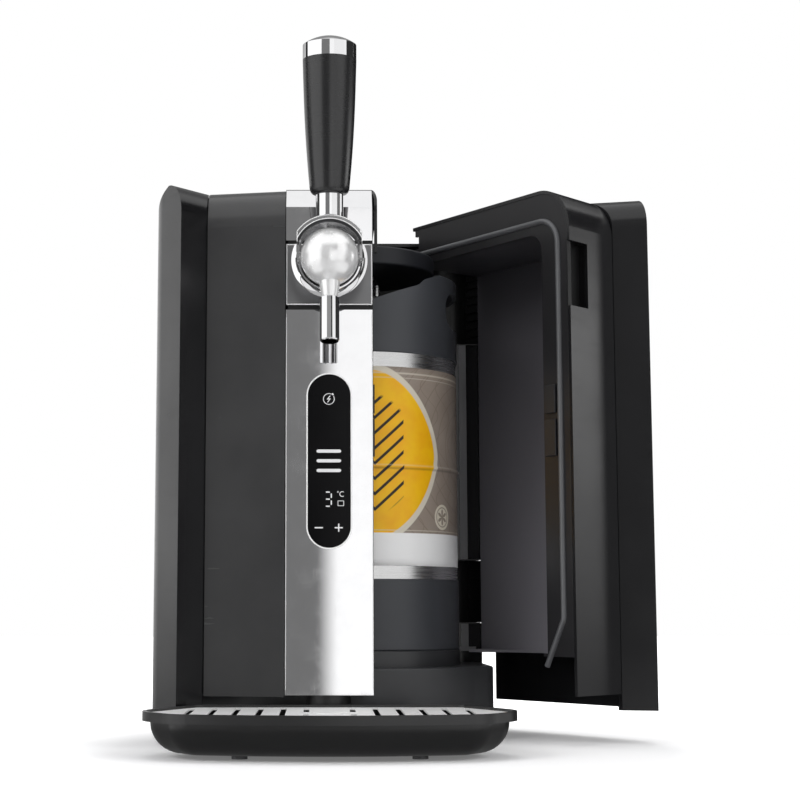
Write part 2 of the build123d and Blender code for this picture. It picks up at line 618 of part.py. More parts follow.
def hinge_corner(radius, from_x):
    """The corner outside a radius about the hinge, which the door's edge sweeps past."""
    with BuildPart() as corner:
        block((from_x, FAR), (REAR_FRONT_Y - 9, HINGE_Y - sqrt(HINGE_CLEAR_R**2 - 25**2)), (0, FAR * 3))
        disc(radius, 0, FAR * 3, Mode.SUBTRACT, at=(HINGE,))
    return corner.part


outer_corner = hinge_corner(HINGE_CLEAR_R, HINGE_X)
inner_corner = hinge_corner(HINGE_CLEAR_R - SKIN, JAMB_X)
with BuildPart() as rear_housing:
    width = (-REAR_HALF_WIDTH, REAR_HALF_WIDTH)
    block(width, (REAR_FRONT_Y, REAR_Y), (SIDE_BOTTOM_Z, REAR_ROOF_Z))
    fillet(rear_housing.edges().filter_by(Axis.Z).group_by(Axis.Y)[-1], 22)
    top_edges = rear_housing.faces().sort_by(Axis.Z)[-1].edges()
    fillet(top_edges.filter_by(lambda e: (e @ 0.5).Y > SPLIT_Y + 5), 12)
    add(outer_corner, mode=Mode.SUBTRACT)
    hollow_x = REAR_HALF_WIDTH - SKIN
    with BuildSketch(Plane.XY) as rear_hollow:
        with Locations((0, (SPLIT_Y - 9 + REAR_Y - SKIN) / 2)):
            Rectangle(2 * hollow_x, REAR_Y - SKIN - SPLIT_Y + 9)
        fillet(rear_hollow.vertices().group_by(Axis.Y)[-1], 19)
        with Locations((JAMB_X + SKIN / 2 + 50, REAR_FRONT_Y)):
            Rectangle(SKIN + 100, 18, mode=Mode.SUBTRACT)
    extrude(amount=REAR_ROOF_Z - SKIN, mode=Mode.SUBTRACT)
    with BuildSketch(Plane.XY.offset(SIDE_BOTTOM_Z)) as hinge_post:
        with Locations(HINGE):
            Circle(HINGE_CLEAR_R)
            Circle(HINGE_CLEAR_R - SKIN, mode=Mode.SUBTRACT)
        with Locations(((JAMB_X + REAR_HALF_WIDTH) / 2, HINGE_Y - HINGE_CLEAR_R + 4.5)):
            Rectangle(REAR_HALF_WIDTH - JAMB_X, 12, mode=Mode.INTERSECT)
    extrude(amount=REAR_ROOF_Z - SKIN - SIDE_BOTTOM_Z + 1)
    jamb_y = (REAR_FRONT_Y, BAY_REAR_Y + BAY_WALL + 1)
    block((JAMB_X, JAMB_X + SKIN), jamb_y, (SIDE_BOTTOM_Z, REAR_ROOF_Z - SKIN))
    add(outer_corner, mode=Mode.SUBTRACT)
    foot_x = (JAMB_X - 1, DECK_HALF + SIDE_GAP)
    block(foot_x, (REAR_FRONT_Y - 9, BAY_REAR_Y + 9), (0, DECK_TOP_Z), Mode.SUBTRACT)
    for low, high in (ARM_LOWER, ARM_UPPER):
        slot_y = (REAR_FRONT_Y - 9, HINGE_Y + HINGE_BARREL_R + 1)
        block((SLOT_X, FAR), slot_y, (low - SLOT_GAP, high + SLOT_GAP), Mode.SUBTRACT)
    block((-WINDOW_HALF, WINDOW_HALF), (REAR_Y - 9, REAR_Y + 9), WINDOW_Z, Mode.SUBTRACT)
    block(
        (INLET_X - INLET[0] / 2 - 0.2, INLET_X + INLET[0] / 2 + 0.2),
        (REAR_Y - 9, REAR_Y + 9),
        (INLET_Z - INLET[1] / 2 - 0.2, INLET_Z + INLET[1] / 2 + 0.2),
        Mode.SUBTRACT,
    )
    screw_places = [(x, z) for x in (-WINDOW_HALF - 5, WINDOW_HALF + 5) for z in (50, 240, 430)]
    disc(2.1, -REAR_Y - 9, -REAR_Y + 9, Mode.SUBTRACT, Plane.XZ, screw_places)
save(rear_housing, "rear_housing")

COVER_T = 2.0
with BuildPart() as rear_cover:
    cover_half = WINDOW_HALF + 10
    block((-cover_half, cover_half), (REAR_Y, REAR_Y + COVER_T), (40, 440))
    fillet(rear_cover.edges().filter_by(Axis.Y), 10)
    inlet_room = INLET_X + 14
    block((-cover_half - 1, inlet_room), (0, FAR), (INLET_Z - 28, INLET_Z + 28), Mode.SUBTRACT)
    with BuildSketch(Plane.XZ.offset(-REAR_Y - COVER_T - 1)):
        with Locations((KEG_X, FAN_Z)):
            with GridLocations(26, 9, 4, 12):
                SlotOverall(20, 4.5)
        with Locations((0, 380)):
            with GridLocations(26, 9, 6, 4):
                SlotOverall(20, 4.5)
    extrude(amount=COVER_T + 2, mode=Mode.SUBTRACT)
    disc(2.1, -REAR_Y - 9, -REAR_Y + 9, Mode.SUBTRACT, Plane.XZ, screw_places)
save(rear_cover, "rear_cover")

with BuildPart() as rear_cover_screws:
    disc(4, -REAR_Y - COVER_T - 2.2, -REAR_Y - COVER_T, plane=Plane.XZ, at=screw_places)
    chamfer(rear_cover_screws.faces().sort_by(Axis.Y)[-6:].edges(), 0.6)
    disc(2.05, -REAR_Y - COVER_T, -REAR_Y + 6, plane=Plane.XZ, at=screw_places)
    for place in screw_places:
        for wide, high in ((2.4, 0.4), (0.4, 2.4)):
            slit_x = (place[0] - wide, place[0] + wide)
            slit_z = (place[1] - high, place[1] + high)
            block(slit_x, (REAR_Y + COVER_T + 1.2, FAR), slit_z, Mode.SUBTRACT)
save(rear_cover_screws, "rear_cover_screws")

with BuildPart() as power_inlet:
    reach = (REAR_Y - 24, REAR_Y + 1)
    body_x = (INLET_X - INLET[0] / 2, INLET_X + INLET[0] / 2)
    block(body_x, reach, (INLET_Z - INLET[1] / 2, INLET_Z + INLET[1] / 2))
    block((INLET_X - 11, INLET_X + 11), (REAR_Y, REAR_Y + 2.5), (INLET_Z - 25, INLET_Z + 25))
    block((INLET_X - 8, INLET_X + 8), (REAR_Y - 14, FAR), (INLET_Z - 12, INLET_Z + 12), Mode.SUBTRACT)
    for x, z in ((-3.5, -6), (-3.5, 6), (3.5, 0)):
        pin_x = (INLET_X + x - 1, INLET_X + x + 1)
        block(pin_x, (REAR_Y - 15, REAR_Y - 2), (INLET_Z + z - 2, INLET_Z + z + 2))
save(power_inlet, "power_inlet")

# --- keg bay ---------------------------------------------------------------------------------------
AIR_DROP = (5.0, -10.0)
BEER_RISE = (20.0, -20.0)
PUMP_X = -95.0
with BuildPart() as bay_liner:
    left = BAY_LEFT_X - BAY_WALL
    front = BAY_FRONT_Y - BAY_WALL
    rear = BAY_REAR_Y + BAY_WALL
    block((left, BAY_LEFT_X), (front, rear), (DECK_TOP_Z, BAY_TOP_Z))
    block((left, BAY_MOUTH_X), (front, BAY_FRONT_Y), (DECK_TOP_Z, BAY_TOP_Z))
    block((left, JAMB_X - 0.2), (BAY_REAR_Y, rear), (DECK_TOP_Z, BAY_TOP_Z))
    block((left, BAY_MOUTH_X), (front, rear), (BAY_TOP_Z, BAY_TOP_Z + BAY_WALL))
    window_x = (KEG_X - COLD_HALF - 1, KEG_X + COLD_HALF + 1)
    block(window_x, (0, FAR), (COLD_LOW_Z - 1, COLD_TOP_Z + 1), Mode.SUBTRACT)
    disc(TUBE_R + 0.3, BAY_TOP_Z - 1, BAY_TOP_Z + 9, Mode.SUBTRACT, at=(AIR_DROP, BEER_RISE))
save(bay_liner, "bay_liner")

with BuildPart() as cold_plate:
    block((KEG_X - COLD_HALF, KEG_X + COLD_HALF), (KEG_Y, COLD_REAR_Y), (COLD_LOW_Z, COLD_TOP_Z))
    disc(KEG_R + LABEL_GAP + LABEL_SKIN + COLD_GAP, 0, FAR * 3, Mode.SUBTRACT, at=(KEG,))
save(cold_plate, "cold_plate")

SINK_Y = COLD_REAR_Y + PELTIER_T
with BuildPart() as peltier_module:
    for z in (FAN_Z - 32, FAN_Z + 32):
        tile_x = (KEG_X - PELTIER / 2, KEG_X + PELTIER / 2)
        block(tile_x, (COLD_REAR_Y, SINK_Y), (z - PELTIER / 2, z + PELTIER / 2))
save(peltier_module, "peltier_module")

FAN_Y = SINK_Y + SINK_BASE + SINK_DEPTH
with BuildPart() as heat_sink:
    block((KEG_X - SINK_HALF, KEG_X + SINK_HALF), (SINK_Y, SINK_Y + SINK_BASE), (SINK_LOW_Z, SINK_TOP_Z))
    fins = 15
    pitch = (2 * SINK_HALF - 2) / (fins - 1)
    with BuildSketch(Plane.XY.offset(SINK_LOW_Z)):
        with Locations((KEG_X, SINK_Y + SINK_BASE + SINK_DEPTH / 2)):
            with GridLocations(pitch, 1, fins, 1):
                Rectangle(2, SINK_DEPTH)
    extrude(amount=SINK_TOP_Z - SINK_LOW_Z)
save(heat_sink, "heat_sink")

with BuildPart() as fan_frame:
    with BuildSketch(FAN_AXIS.offset(FAN_Y)):
        RectangleRounded(FAN_SIZE, FAN_SIZE, 5)
        Circle(FAN_BORE, mode=Mode.SUBTRACT)
        with GridLocations(FAN_SIZE - 9.5, FAN_SIZE - 9.5, 2, 2):
            Circle(2.2, mode=Mode.SUBTRACT)
    extrude(amount=FAN_DEPTH)
    with BuildSketch(FAN_AXIS.offset(FAN_Y + FAN_DEPTH - 4)):
        for angle in (45, 135):
            Rectangle(2 * FAN_BORE + 4, 5, rotation=angle)
        Circle(FAN_HUB_R - 1)
    extrude(amount=4)
    disc(2, FAN_Y + 3, FAN_Y + FAN_DEPTH - 4, plane=FAN_AXIS)
save(fan_frame, "fan_frame")

with BuildPart() as fan_rotor:
    disc(FAN_HUB_R, FAN_Y + 2, FAN_Y + FAN_DEPTH - 5, plane=FAN_AXIS)
    fillet(fan_rotor.faces().sort_by(Axis.Y)[0].edges(), 1.5)
    for turn in range(FAN_BLADES):
        angle = radians(360 / FAN_BLADES * turn)
        blade = Plane(
            origin=(KEG_X, FAN_Y + FAN_DEPTH / 2 - 1.5, FAN_Z),
            x_dir=(0, 1, 0),
            z_dir=(cos(angle), 0, sin(angle)),
        )
        with BuildSketch(blade.offset(FAN_HUB_R - 1.5)):
            Rectangle(20, 1.6, rotation=38)
        extrude(amount=FAN_BLADE_R - 1 - FAN_HUB_R + 1.5)
    disc(2 + RUN_GAP, FAN_Y, FAN_Y + FAN_DEPTH, Mode.SUBTRACT, FAN_AXIS)
save(fan_rotor, "fan_rotor")

with BuildPart() as dispense_head:
    disc(HEAD_R, HEAD_LOW_Z, HEAD_TOP_Z, at=(KEG,))
    fillet(dispense_head.edges().filter_by(GeomType.CIRCLE), 2)
    block((-20, 36), (-60, 20), (HEAD_TOP_Z - 1, BAY_TOP_Z))
    disc(TUBE_R + 0.02, HEAD_TOP_Z - 8, BAY_TOP_Z + 1, Mode.SUBTRACT, at=(AIR_DROP, BEER_RISE))
save(dispense_head, "dispense_head")


def tube(points, bend):
    """A round tube along a bent route."""
    with BuildLine() as route:
        FilletPolyline(*points, radius=bend)
    with BuildSketch(Plane(origin=points[0], z_dir=route.line % 0)) as ring:
        Circle(TUBE_R)
        Circle(TUBE_R - 1, mode=Mode.SUBTRACT)
    sweep(ring.sketch, path=route.line)


with BuildPart() as beer_tube:
    tube(
        [
            (*BEER_RISE, HEAD_TOP_Z - 8),
            (*BEER_RISE, TUBE_HIGH_Z),
            (0, -60, TUBE_HIGH_Z),
            (0, TUBE_DROP_Y, TUBE_HIGH_Z),
            (0, TUBE_DROP_Y, BALL_Z),
            (0, FACE_Y - 20, BALL_Z),
        ],
        8,
    )
save(beer_tube, "beer_tube")

PUMP_TOP_Z = 215.0
with BuildPart() as air_tube:
    air_rise = (PUMP_X, AIR_DROP[1])
    up = [(*air_rise, PUMP_TOP_Z), (*air_rise, TUBE_HIGH_Z)]
    tube(up + [(*AIR_DROP, TUBE_HIGH_Z), (*AIR_DROP, HEAD_TOP_Z - 8)], 10)
save(air_tube, "air_tube")

with BuildPart() as air_pump:
    disc(16, -45, 15, plane=Plane(origin=(PUMP_X, 0, 185), x_dir=(1, 0, 0), z_dir=(0, 1, 0)))
    block((PUMP_X - 20, PUMP_X + 20), (-30, 10), (168, PUMP_TOP_Z))
    block((PUMP_X, BAY_LEFT_X - BAY_WALL), (-28, 8), (172, 200))
save(air_pump, "air_pump")

with BuildPart() as power_supply:
    block((-134, -72), (-70, 40), (DECK_TOP_Z, DECK_TOP_Z + 62))
    fillet(power_supply.edges().filter_by(Axis.Z), 3)
    for y in range(-60, 31, 6):
        block((-135, -131), (y, y + 2), (DECK_TOP_Z + 10, DECK_TOP_Z + 50), Mode.SUBTRACT)
save(power_supply, "power_supply")

# --- keg -------------------------------------------------------------------------------------------
COLLAR_R = KEG_R + COLLAR_PROUD
COLLAR_IN_R = COLLAR_R - COLLAR_WALL
RING_IN_R = COLLAR_R - 5


def keg_profile(wall):
    """Half of the keg's section, shrunk by a wall: foot, side, shoulder, dome and neck."""
    foot_r = RING_IN_R - 0.2 - wall
    side_r = KEG_R - wall
    shoulder_r = COLLAR_IN_R - 0.2 - wall
    neck_r = 25 - wall
    with BuildLine() as outline:
        ThreePointArc((0, 96 + wall), (foot_r * 0.6, 93 + wall), (foot_r - 6, 86 + wall))
        Line((foot_r - 6, 86 + wall), (foot_r, 94 + wall))
        Polyline((foot_r, 94 + wall), (foot_r, RING_TOP_Z + wall), (side_r, RING_TOP_Z + wall))
        side_top_z = COLLAR_LOW_Z - wall
        Polyline((side_r, RING_TOP_Z + wall), (side_r, side_top_z), (shoulder_r, side_top_z))
        Line((shoulder_r, COLLAR_LOW_Z - wall), (shoulder_r, COLLAR_LOW_Z + 8))
        ThreePointArc((shoulder_r, COLLAR_LOW_Z + 8), (shoulder_r * 0.72, 356 - wall), (neck_r, 366 - wall))
        Polyline((neck_r, 366 - wall), (neck_r, 385 - wall), (0, 385 - wall), (0, 96 + wall))
    make_face(outline.edges())


with BuildPart() as keg_body:
    section_plane = Plane(origin=(KEG_X, KEG_Y, 0), x_dir=(1, 0, 0), z_dir=(0, -1, 0))
    keg_axis = Axis((KEG_X, KEG_Y, 0), (0, 0, 1))
    with BuildSketch(section_plane):
        keg_profile(0)
    revolve(axis=keg_axis)
    with BuildSketch(section_plane):
        keg_profile(STEEL)
    revolve(axis=keg_axis, mode=Mode.SUBTRACT)
save(keg_body, "keg_body")

with BuildPart() as keg_base_ring:
    disc(COLLAR_R, KEG_FOOT_Z, RING_TOP_Z, at=(KEG,))
    fillet(keg_base_ring.edges().filter_by(GeomType.CIRCLE), 1.2)
    disc(RING_IN_R, 0, FAR * 3, Mode.SUBTRACT, at=(KEG,))
save(keg_base_ring, "keg_base_ring")

with BuildPart() as keg_collar:
    disc(COLLAR_R, COLLAR_LOW_Z, COLLAR_TOP_Z, at=(KEG,))
    fillet(keg_collar.edges().filter_by(GeomType.CIRCLE), 1)
    disc(COLLAR_IN_R, 0, FAR * 3, Mode.SUBTRACT, at=(KEG,))
    scoop = [(0, 371.5), (51.5, 391), (56.5, 396.5), (71, 403), (71, 420)]
    outline = scoop + [(-x, z) for x, z in scoop[:0:-1]]
    outline_prism(outline, 20, FAR, [2, 12, 12, 2, 0, 0, 2, 12, 12], Mode.SUBTRACT, within(AT_KEG, Plane.XZ))
    with BuildSketch(Plane.YZ.offset(-FAR)):
        with Locations((KEG_Y, 374)):
            RectangleRounded(92, 32, 14)
    extrude(amount=2 * FAR, mode=Mode.SUBTRACT)
save(keg_collar, "keg_collar")

with BuildPart() as keg_label:
    disc(KEG_R + LABEL_GAP + LABEL_SKIN, LABEL_LOW_Z, LABEL_TOP_Z, at=(KEG,))
    disc(KEG_R + LABEL_GAP, 0, FAR * 3, Mode.SUBTRACT, at=(KEG,))
save(keg_label, "keg_label")

with BuildPart() as keg_fitting:
    disc(25, 385, 391, at=(KEG,))
    disc(17, 391, HEAD_LOW_Z, at=(KEG,))
    with BuildSketch(AT_KEG.offset(394)):
        with PolarLocations(17, 6):
            Circle(3)
    extrude(amount=10)
save(keg_fitting, "keg_fitting")

# --- tap -------------------------------------------------------------------------------------------
with BuildPart() as tap_barrel:
    disc(BARREL_R, BALL_R - 2, FACE_Y - BALL_Y, plane=TAP_AXIS)
    fillet(tap_barrel.faces().sort_by(Axis.Y)[-1].edges(), 1)
    with Locations(BALL.origin):
        Sphere(BALL_R, mode=Mode.SUBTRACT)
    disc(TUBE_R + 0.02, 0, FAR, Mode.SUBTRACT, TAP_AXIS)
    disc(PLUNGER_R + SLIDE_GAP, BALL_Z + TUBE_R + 1, BALL_Z + FAR, Mode.SUBTRACT, at=((0, PLUNGER_Y),))
save(tap_barrel, "tap_barrel")

with BuildPart() as tap_dish:
    seat_y = sqrt(DISH_IN_R**2 - BARREL_R**2)
    rim_in_r = sqrt(DISH_IN_R**2 - DISH_RIM_BACK**2)
    with BuildSketch(BALL):
        with BuildLine():
            Polyline(
                (DISH_RIM_R, DISH_RIM_BACK + 5),
                (DISH_RIM_R, DISH_RIM_BACK + 6),
                (BARREL_R, BALL_R),
                (BARREL_R, seat_y),
            )
            Line((rim_in_r, DISH_RIM_BACK), (rim_in_r + 1.2, DISH_RIM_BACK))
            RadiusArc((rim_in_r + 1.2, DISH_RIM_BACK), (DISH_RIM_R, DISH_RIM_BACK + 5), DISH_ROUND)
            RadiusArc((BARREL_R, seat_y), (rim_in_r, DISH_RIM_BACK), DISH_IN_R)
        make_face()
    revolve(axis=Axis(BALL.origin, (0, 1, 0)))
    block((-YOKE_OUT - 0.6, YOKE_OUT + 0.6), (-FAR, FAR), (HOOD_LOW - 2, FAR), Mode.SUBTRACT, BALL)
    block((-FAR, FAR), (-FAR, FAR), (HOOD_LOW + 5, FAR), Mode.SUBTRACT, BALL)
save(tap_dish, "tap_dish")

with BuildPart() as tap_ball:
    with Locations(BALL.origin):
        Sphere(BALL_R)
    with BuildSketch(SPOUT.offset(NECK_TOP)):
        Circle(NECK_R)
    extrude(amount=NOZZLE_TOP - NECK_TOP, taper=9)
    disc(BEER_BORE, 0, FAR, Mode.SUBTRACT, TAP_AXIS)
    disc(BEER_BORE, 0, FAR, Mode.SUBTRACT, SPOUT)
    for side in (-1, 1):
        reach = sorted((side * (BALL_R - 8), side * FAR))
        disc(PIN_R, *reach, Mode.SUBTRACT, ACROSS_BALL)
save(tap_ball, "tap_ball")

with BuildPart() as spout_nozzle:
    disc(NOZZLE_R, NOZZLE_TOP, SPOUT_END, plane=SPOUT)
    chamfer(spout_nozzle.edges().filter_by(GeomType.CIRCLE), 0.8)
    disc(NOZZLE_BORE, NOZZLE_TOP + 3, SPOUT_END + 1, Mode.SUBTRACT, SPOUT)
    disc(BEER_BORE, 0, SPOUT_END, Mode.SUBTRACT, SPOUT)
save(spout_nozzle, "spout_nozzle")

with BuildPart() as lever_pins:
    for side in (-1, 1):
        disc(PIN_R, *sorted((side * (BALL_R - 8), side * YOKE_OUT)), plane=ACROSS_BALL)
save(lever_pins, "lever_pins")

EAR_IN = BALL_R + YOKE_GAP
with BuildPart() as lever_yoke:
    disc(HOOD_R, -HOOD_AHEAD, HOOD_BACK, plane=TAP_AXIS)
    block((-HOOD_HALF, HOOD_HALF), (-FAR, FAR), (HOOD_LOW, FAR), Mode.INTERSECT, BALL)
    disc(HOOD_IN_R, -HOOD_AHEAD - 1, HOOD_BACK + 1, Mode.SUBTRACT, TAP_AXIS)
    ear_top = sqrt(HOOD_R**2 - HOOD_HALF**2) - 2
    gusset_z = sqrt(HOOD_IN_R**2 - EAR_IN**2)
    for side in (-1, 1):
        ear = sorted((side * EAR_IN, side * YOKE_OUT))
        disc(YOKE_R, *ear, plane=ACROSS_BALL)
        block((-YOKE_R, YOKE_R), (0, ear_top), ear, plane=ACROSS_BALL)
        gusset = sorted((side * (EAR_IN - 1.4), side * YOKE_OUT))
        block((-YOKE_R, YOKE_R), (gusset_z, ear_top), gusset, plane=ACROSS_BALL)
    disc(PIN_R + RUN_GAP, -FAR, FAR, Mode.SUBTRACT, ACROSS_BALL)
save(lever_yoke, "lever_yoke")

SPIGOT_R = 6.0
SPIGOT = 22.0
with BuildPart() as lever_stem:
    disc(STEM_R, HOOD_IN_R, GRIP_LOW, plane=LEVER)
    disc(SPIGOT_R, GRIP_LOW, GRIP_LOW + SPIGOT, plane=LEVER)
    disc(HOOD_R, -FAR, FAR, Mode.SUBTRACT, TAP_AXIS)
save(lever_stem, "lever_stem")

SIDE_AXIS = (0, -cos(radians(LEAN)), -sin(radians(LEAN)))
LEVER_SIDE = Plane(origin=BALL.origin, x_dir=(1, 0, 0), z_dir=SIDE_AXIS)
LEVER_LINE = Axis(BALL.origin, LEVER.z_dir)
with BuildPart() as handle_grip:
    with BuildSketch(LEVER_SIDE):
        with BuildLine():
            Line((0, GRIP_LOW), (STEM_R, GRIP_LOW))
            ThreePointArc((STEM_R, GRIP_LOW), (GRIP_LOW_R - 1.4, GRIP_LOW + 2.4), (GRIP_LOW_R, GRIP_LOW + 7))
            Polyline((GRIP_LOW_R, GRIP_LOW + 7), (GRIP_TOP_R, GRIP_TOP), (0, GRIP_TOP), (0, GRIP_LOW))
        make_face()
    revolve(axis=LEVER_LINE)
    disc(SPIGOT_R + 0.02, 0, GRIP_LOW + SPIGOT + 0.5, Mode.SUBTRACT, LEVER)
save(handle_grip, "handle_grip")

with BuildPart() as handle_cap:
    dome_h = HANDLE_TOP - GRIP_TOP - CAP_RING
    dome_r = (GRIP_TOP_R**2 + dome_h**2) / (2 * dome_h)
    disc(GRIP_TOP_R, GRIP_TOP, HANDLE_TOP, plane=LEVER)
    with Locations(LEVER.offset(HANDLE_TOP - dome_r).origin):
        Sphere(dome_r, mode=Mode.INTERSECT)
save(handle_cap, "handle_cap")

with BuildPart() as valve_plunger:
    disc(PLUNGER_R, BALL_Z + TUBE_R + 3, BALL_Z + BARREL_R + 3, at=((0, PLUNGER_Y),))
    chamfer(valve_plunger.edges().filter_by(GeomType.CIRCLE), 0.5)
save(valve_plunger, "valve_plunger")

# --- door, in the closed door's frame --------------------------------------------------------------
FLANGE_X = MOUTH_X + 0.5
DOOR_BACK_Y = HINGE_Y - sqrt(DOOR_KEEP_R**2 - (HALF_WIDTH - HINGE_X) ** 2) + 1
DOOR_YZ = within(DOOR, Plane.YZ)
CUP_X = RECESS_X + 2
CUP_BACK_Y = FACE_Y + PULL_DEPTH - 1

closed_panel = front_panel(MOUTH_X, DOOR, 1)
closed_side = side_panel(DOOR_BACK_Y, DOOR, 1)
door_room = shell_room(MOUTH_X, 0.1, SPLIT_Y, DOOR, 1)
foam_room = shell_room(MOUTH_X, 0.4, SPLIT_Y - 6, DOOR, 1)

with BuildPart() as door_front_panel:
    add(closed_panel)
    block((0, RECESS_X), (-FAR, -100), (RECESS_LOW_Z, RECESS_TOP_Z), Mode.SUBTRACT, DOOR)
save(door_front_panel, "door_front_panel")

with BuildPart() as door_side_panel:
    add(closed_side)
    block((0, HINGE_X), (SPLIT_Y, FAR), (0, FAR * 3), Mode.SUBTRACT, DOOR)
    disc(DOOR_KEEP_R, 0, FAR * 3, Mode.SUBTRACT, DOOR, (HINGE,))
save(door_side_panel, "door_side_panel")


def cavity_section(margin, beyond):
    """The door's hollow seen from the side, grown by a margin."""
    front = CAVITY_FRONT_Y - margin
    low = CAVITY_LOW_Z - margin
    top = CAVITY_TOP_Z + margin
    return [(front, low), (front, top), (SPLIT_Y + beyond, top), (SPLIT_Y + beyond, low)]


with BuildPart() as liner_flanges:
    block((FLANGE_X, FLANGE_X + LINER), (-FAR, SPLIT_Y), (0, FAR * 3), plane=DOOR)
    back_y = (SPLIT_Y - LINER - 0.5, SPLIT_Y - 0.5)
    block((FLANGE_X, FAR), back_y, (CAVITY_LOW_Z - LINER, FAR * 3), plane=DOOR)
    add(door_room, mode=Mode.INTERSECT)
    block((0, FAR), (-FAR, FAR), (0, CAVITY_LOW_Z - LINER), Mode.SUBTRACT, DOOR)
    block((0, FAR), (SPLIT_Y - 8, FAR), (GASKET_Z + 6, ROOF_Z - 9), Mode.SUBTRACT, DOOR)
    block((0, FAR), (SPLIT_Y - 3, FAR), (ROOF_Z - 9, FAR * 3), Mode.SUBTRACT, DOOR)
    for low, high in (ARM_LOWER, ARM_UPPER):
        block((HINGE_X + 1, FAR), (0, FAR), (low - 1, high + 1), Mode.SUBTRACT, DOOR)

with BuildPart() as door_liner:
    radii = [0, CAVITY_ROUND + LINER, 0, 0]
    outline_prism(cavity_section(LINER, 0), FLANGE_X, CAVITY_SIDE_X + LINER, radii, plane=DOOR_YZ)
    add(liner_flanges.part)
    outline_prism(cavity_section(0, 9), 0, CAVITY_SIDE_X, [0, CAVITY_ROUND, 0, 0], Mode.SUBTRACT, DOOR_YZ)
    disc(PEDESTAL_R + 3, 0, CAVITY_LOW_Z + 1, Mode.SUBTRACT, DOOR, (KEG,))
    block((0, HINGE_X - 5), (KEG_Y + 65, FAR), (0, CAVITY_LOW_Z), Mode.SUBTRACT, DOOR)
    cup_notch_y = FACE_Y + 3
    notch_z = (RECESS_LOW_Z - 2.2, RECESS_TOP_Z + 2.2)
    block((0, FLANGE_X + LINER), (-FAR, cup_notch_y), notch_z, Mode.SUBTRACT, DOOR)
save(door_liner, "door_liner")

with BuildPart() as door_insulation:
    add(foam_room)
    foam_z = (CAVITY_LOW_Z - LINER, CAVITY_TOP_Z + 15)
    block((FLANGE_X + LINER + 0.3, FAR), (-FAR, FAR), foam_z, Mode.INTERSECT, DOOR)
    hollow_y = (CAVITY_FRONT_Y - LINER - 0.3, FAR)
    block((0, CAVITY_SIDE_X + LINER + 0.3), hollow_y, (0, FAR * 3), Mode.SUBTRACT, DOOR)
    block((0, FAR), (ARM_END_Y - 3, FAR), (0, FAR * 3), Mode.SUBTRACT, DOOR)
    block((0, CUP_X + 1), (-FAR, CUP_BACK_Y + 1), (RECESS_LOW_Z - 3, RECESS_TOP_Z + 3), Mode.SUBTRACT, DOOR)
save(door_insulation, "door_insulation")

with BuildPart() as door_gasket:
    with BuildSketch(DOOR_YZ.offset(FLANGE_X - GASKET_H)):
        with BuildLine() as gasket_run:
            FilletPolyline(
                (SPLIT_Y - 3, GASKET_Z),
                (GASKET_Y, GASKET_Z),
                (GASKET_Y, 103),
                (CAVITY_FRONT_Y - 6, 76),
                radius=[22, 8],
            )
        trace(gasket_run.edges(), line_width=GASKET_W)
    extrude(amount=GASKET_H)
save(door_gasket, "door_gasket")

with BuildPart() as door_pull_cup:
    lip_y = cup_notch_y - 0.2
    outer = [(FLANGE_X, FACE_Y), (FLANGE_X, lip_y), (FLANGE_X + 5, lip_y)]
    outer += [(FLANGE_X + 11, CUP_BACK_Y), (CUP_X, CUP_BACK_Y), (CUP_X, FACE_Y)]
    grip = [(0, -FAR), (0, lip_y - 2), (FLANGE_X + 4, lip_y - 2), (FLANGE_X + 10, CUP_BACK_Y - 2)]
    grip += [(CUP_X - 2, CUP_BACK_Y - 2), (CUP_X - 2, -FAR)]
    outline_prism(outer, RECESS_LOW_Z - 2, RECESS_TOP_Z + 2, plane=DOOR)
    add(door_room, mode=Mode.INTERSECT)
    outline_prism(grip, RECESS_LOW_Z, RECESS_TOP_Z, mode=Mode.SUBTRACT, plane=DOOR)
save(door_pull_cup, "door_pull_cup")

KEEPER_Y = (MAGNET_Y[0], CAVITY_FRONT_Y - LINER - 0.5)
with BuildPart() as door_keepers:
    for low, high in (MAGNET_LOW, MAGNET_HIGH):
        block((FLANGE_X - 2.5, FLANGE_X), KEEPER_Y, (low, high), plane=DOOR)
    chamfer(door_keepers.edges(), 0.5)
save(door_keepers, "door_keepers")

with BuildPart() as column_magnets:
    for low, high in (MAGNET_LOW, MAGNET_HIGH):
        block((FRAME_HALF, FLANGE_X - 3.3), KEEPER_Y, (low, high))
save(column_magnets, "column_magnets")


def hinge_arm(low, high):
    """A ribbed arm from the hinge barrel to the pad on the door's side."""
    disc(HINGE_BARREL_R, low, high, plane=DOOR, at=(HINGE,))
    bar = (HINGE_X + ARM_INNER, HINGE_X + HINGE_BARREL_R)
    block(bar, (ARM_END_Y, HINGE_Y), (low, high), plane=DOOR)
    for step in range(1, int((high - low) / 8)):
        rib = low + 8 * step
        groove_y = (ARM_END_Y - 1, HINGE_Y - HINGE_BARREL_R)
        block((0, bar[0] + 2), groove_y, (rib - 2, rib + 2), Mode.SUBTRACT, DOOR)
    block((bar[1], HALF_WIDTH - SKIN), (ARM_END_Y, ARM_END_Y + ARM_PAD), (low, high), plane=DOOR)
    disc(HINGE_PIN_R + RUN_GAP, low - 1, high + 1, Mode.SUBTRACT, DOOR, (HINGE,))


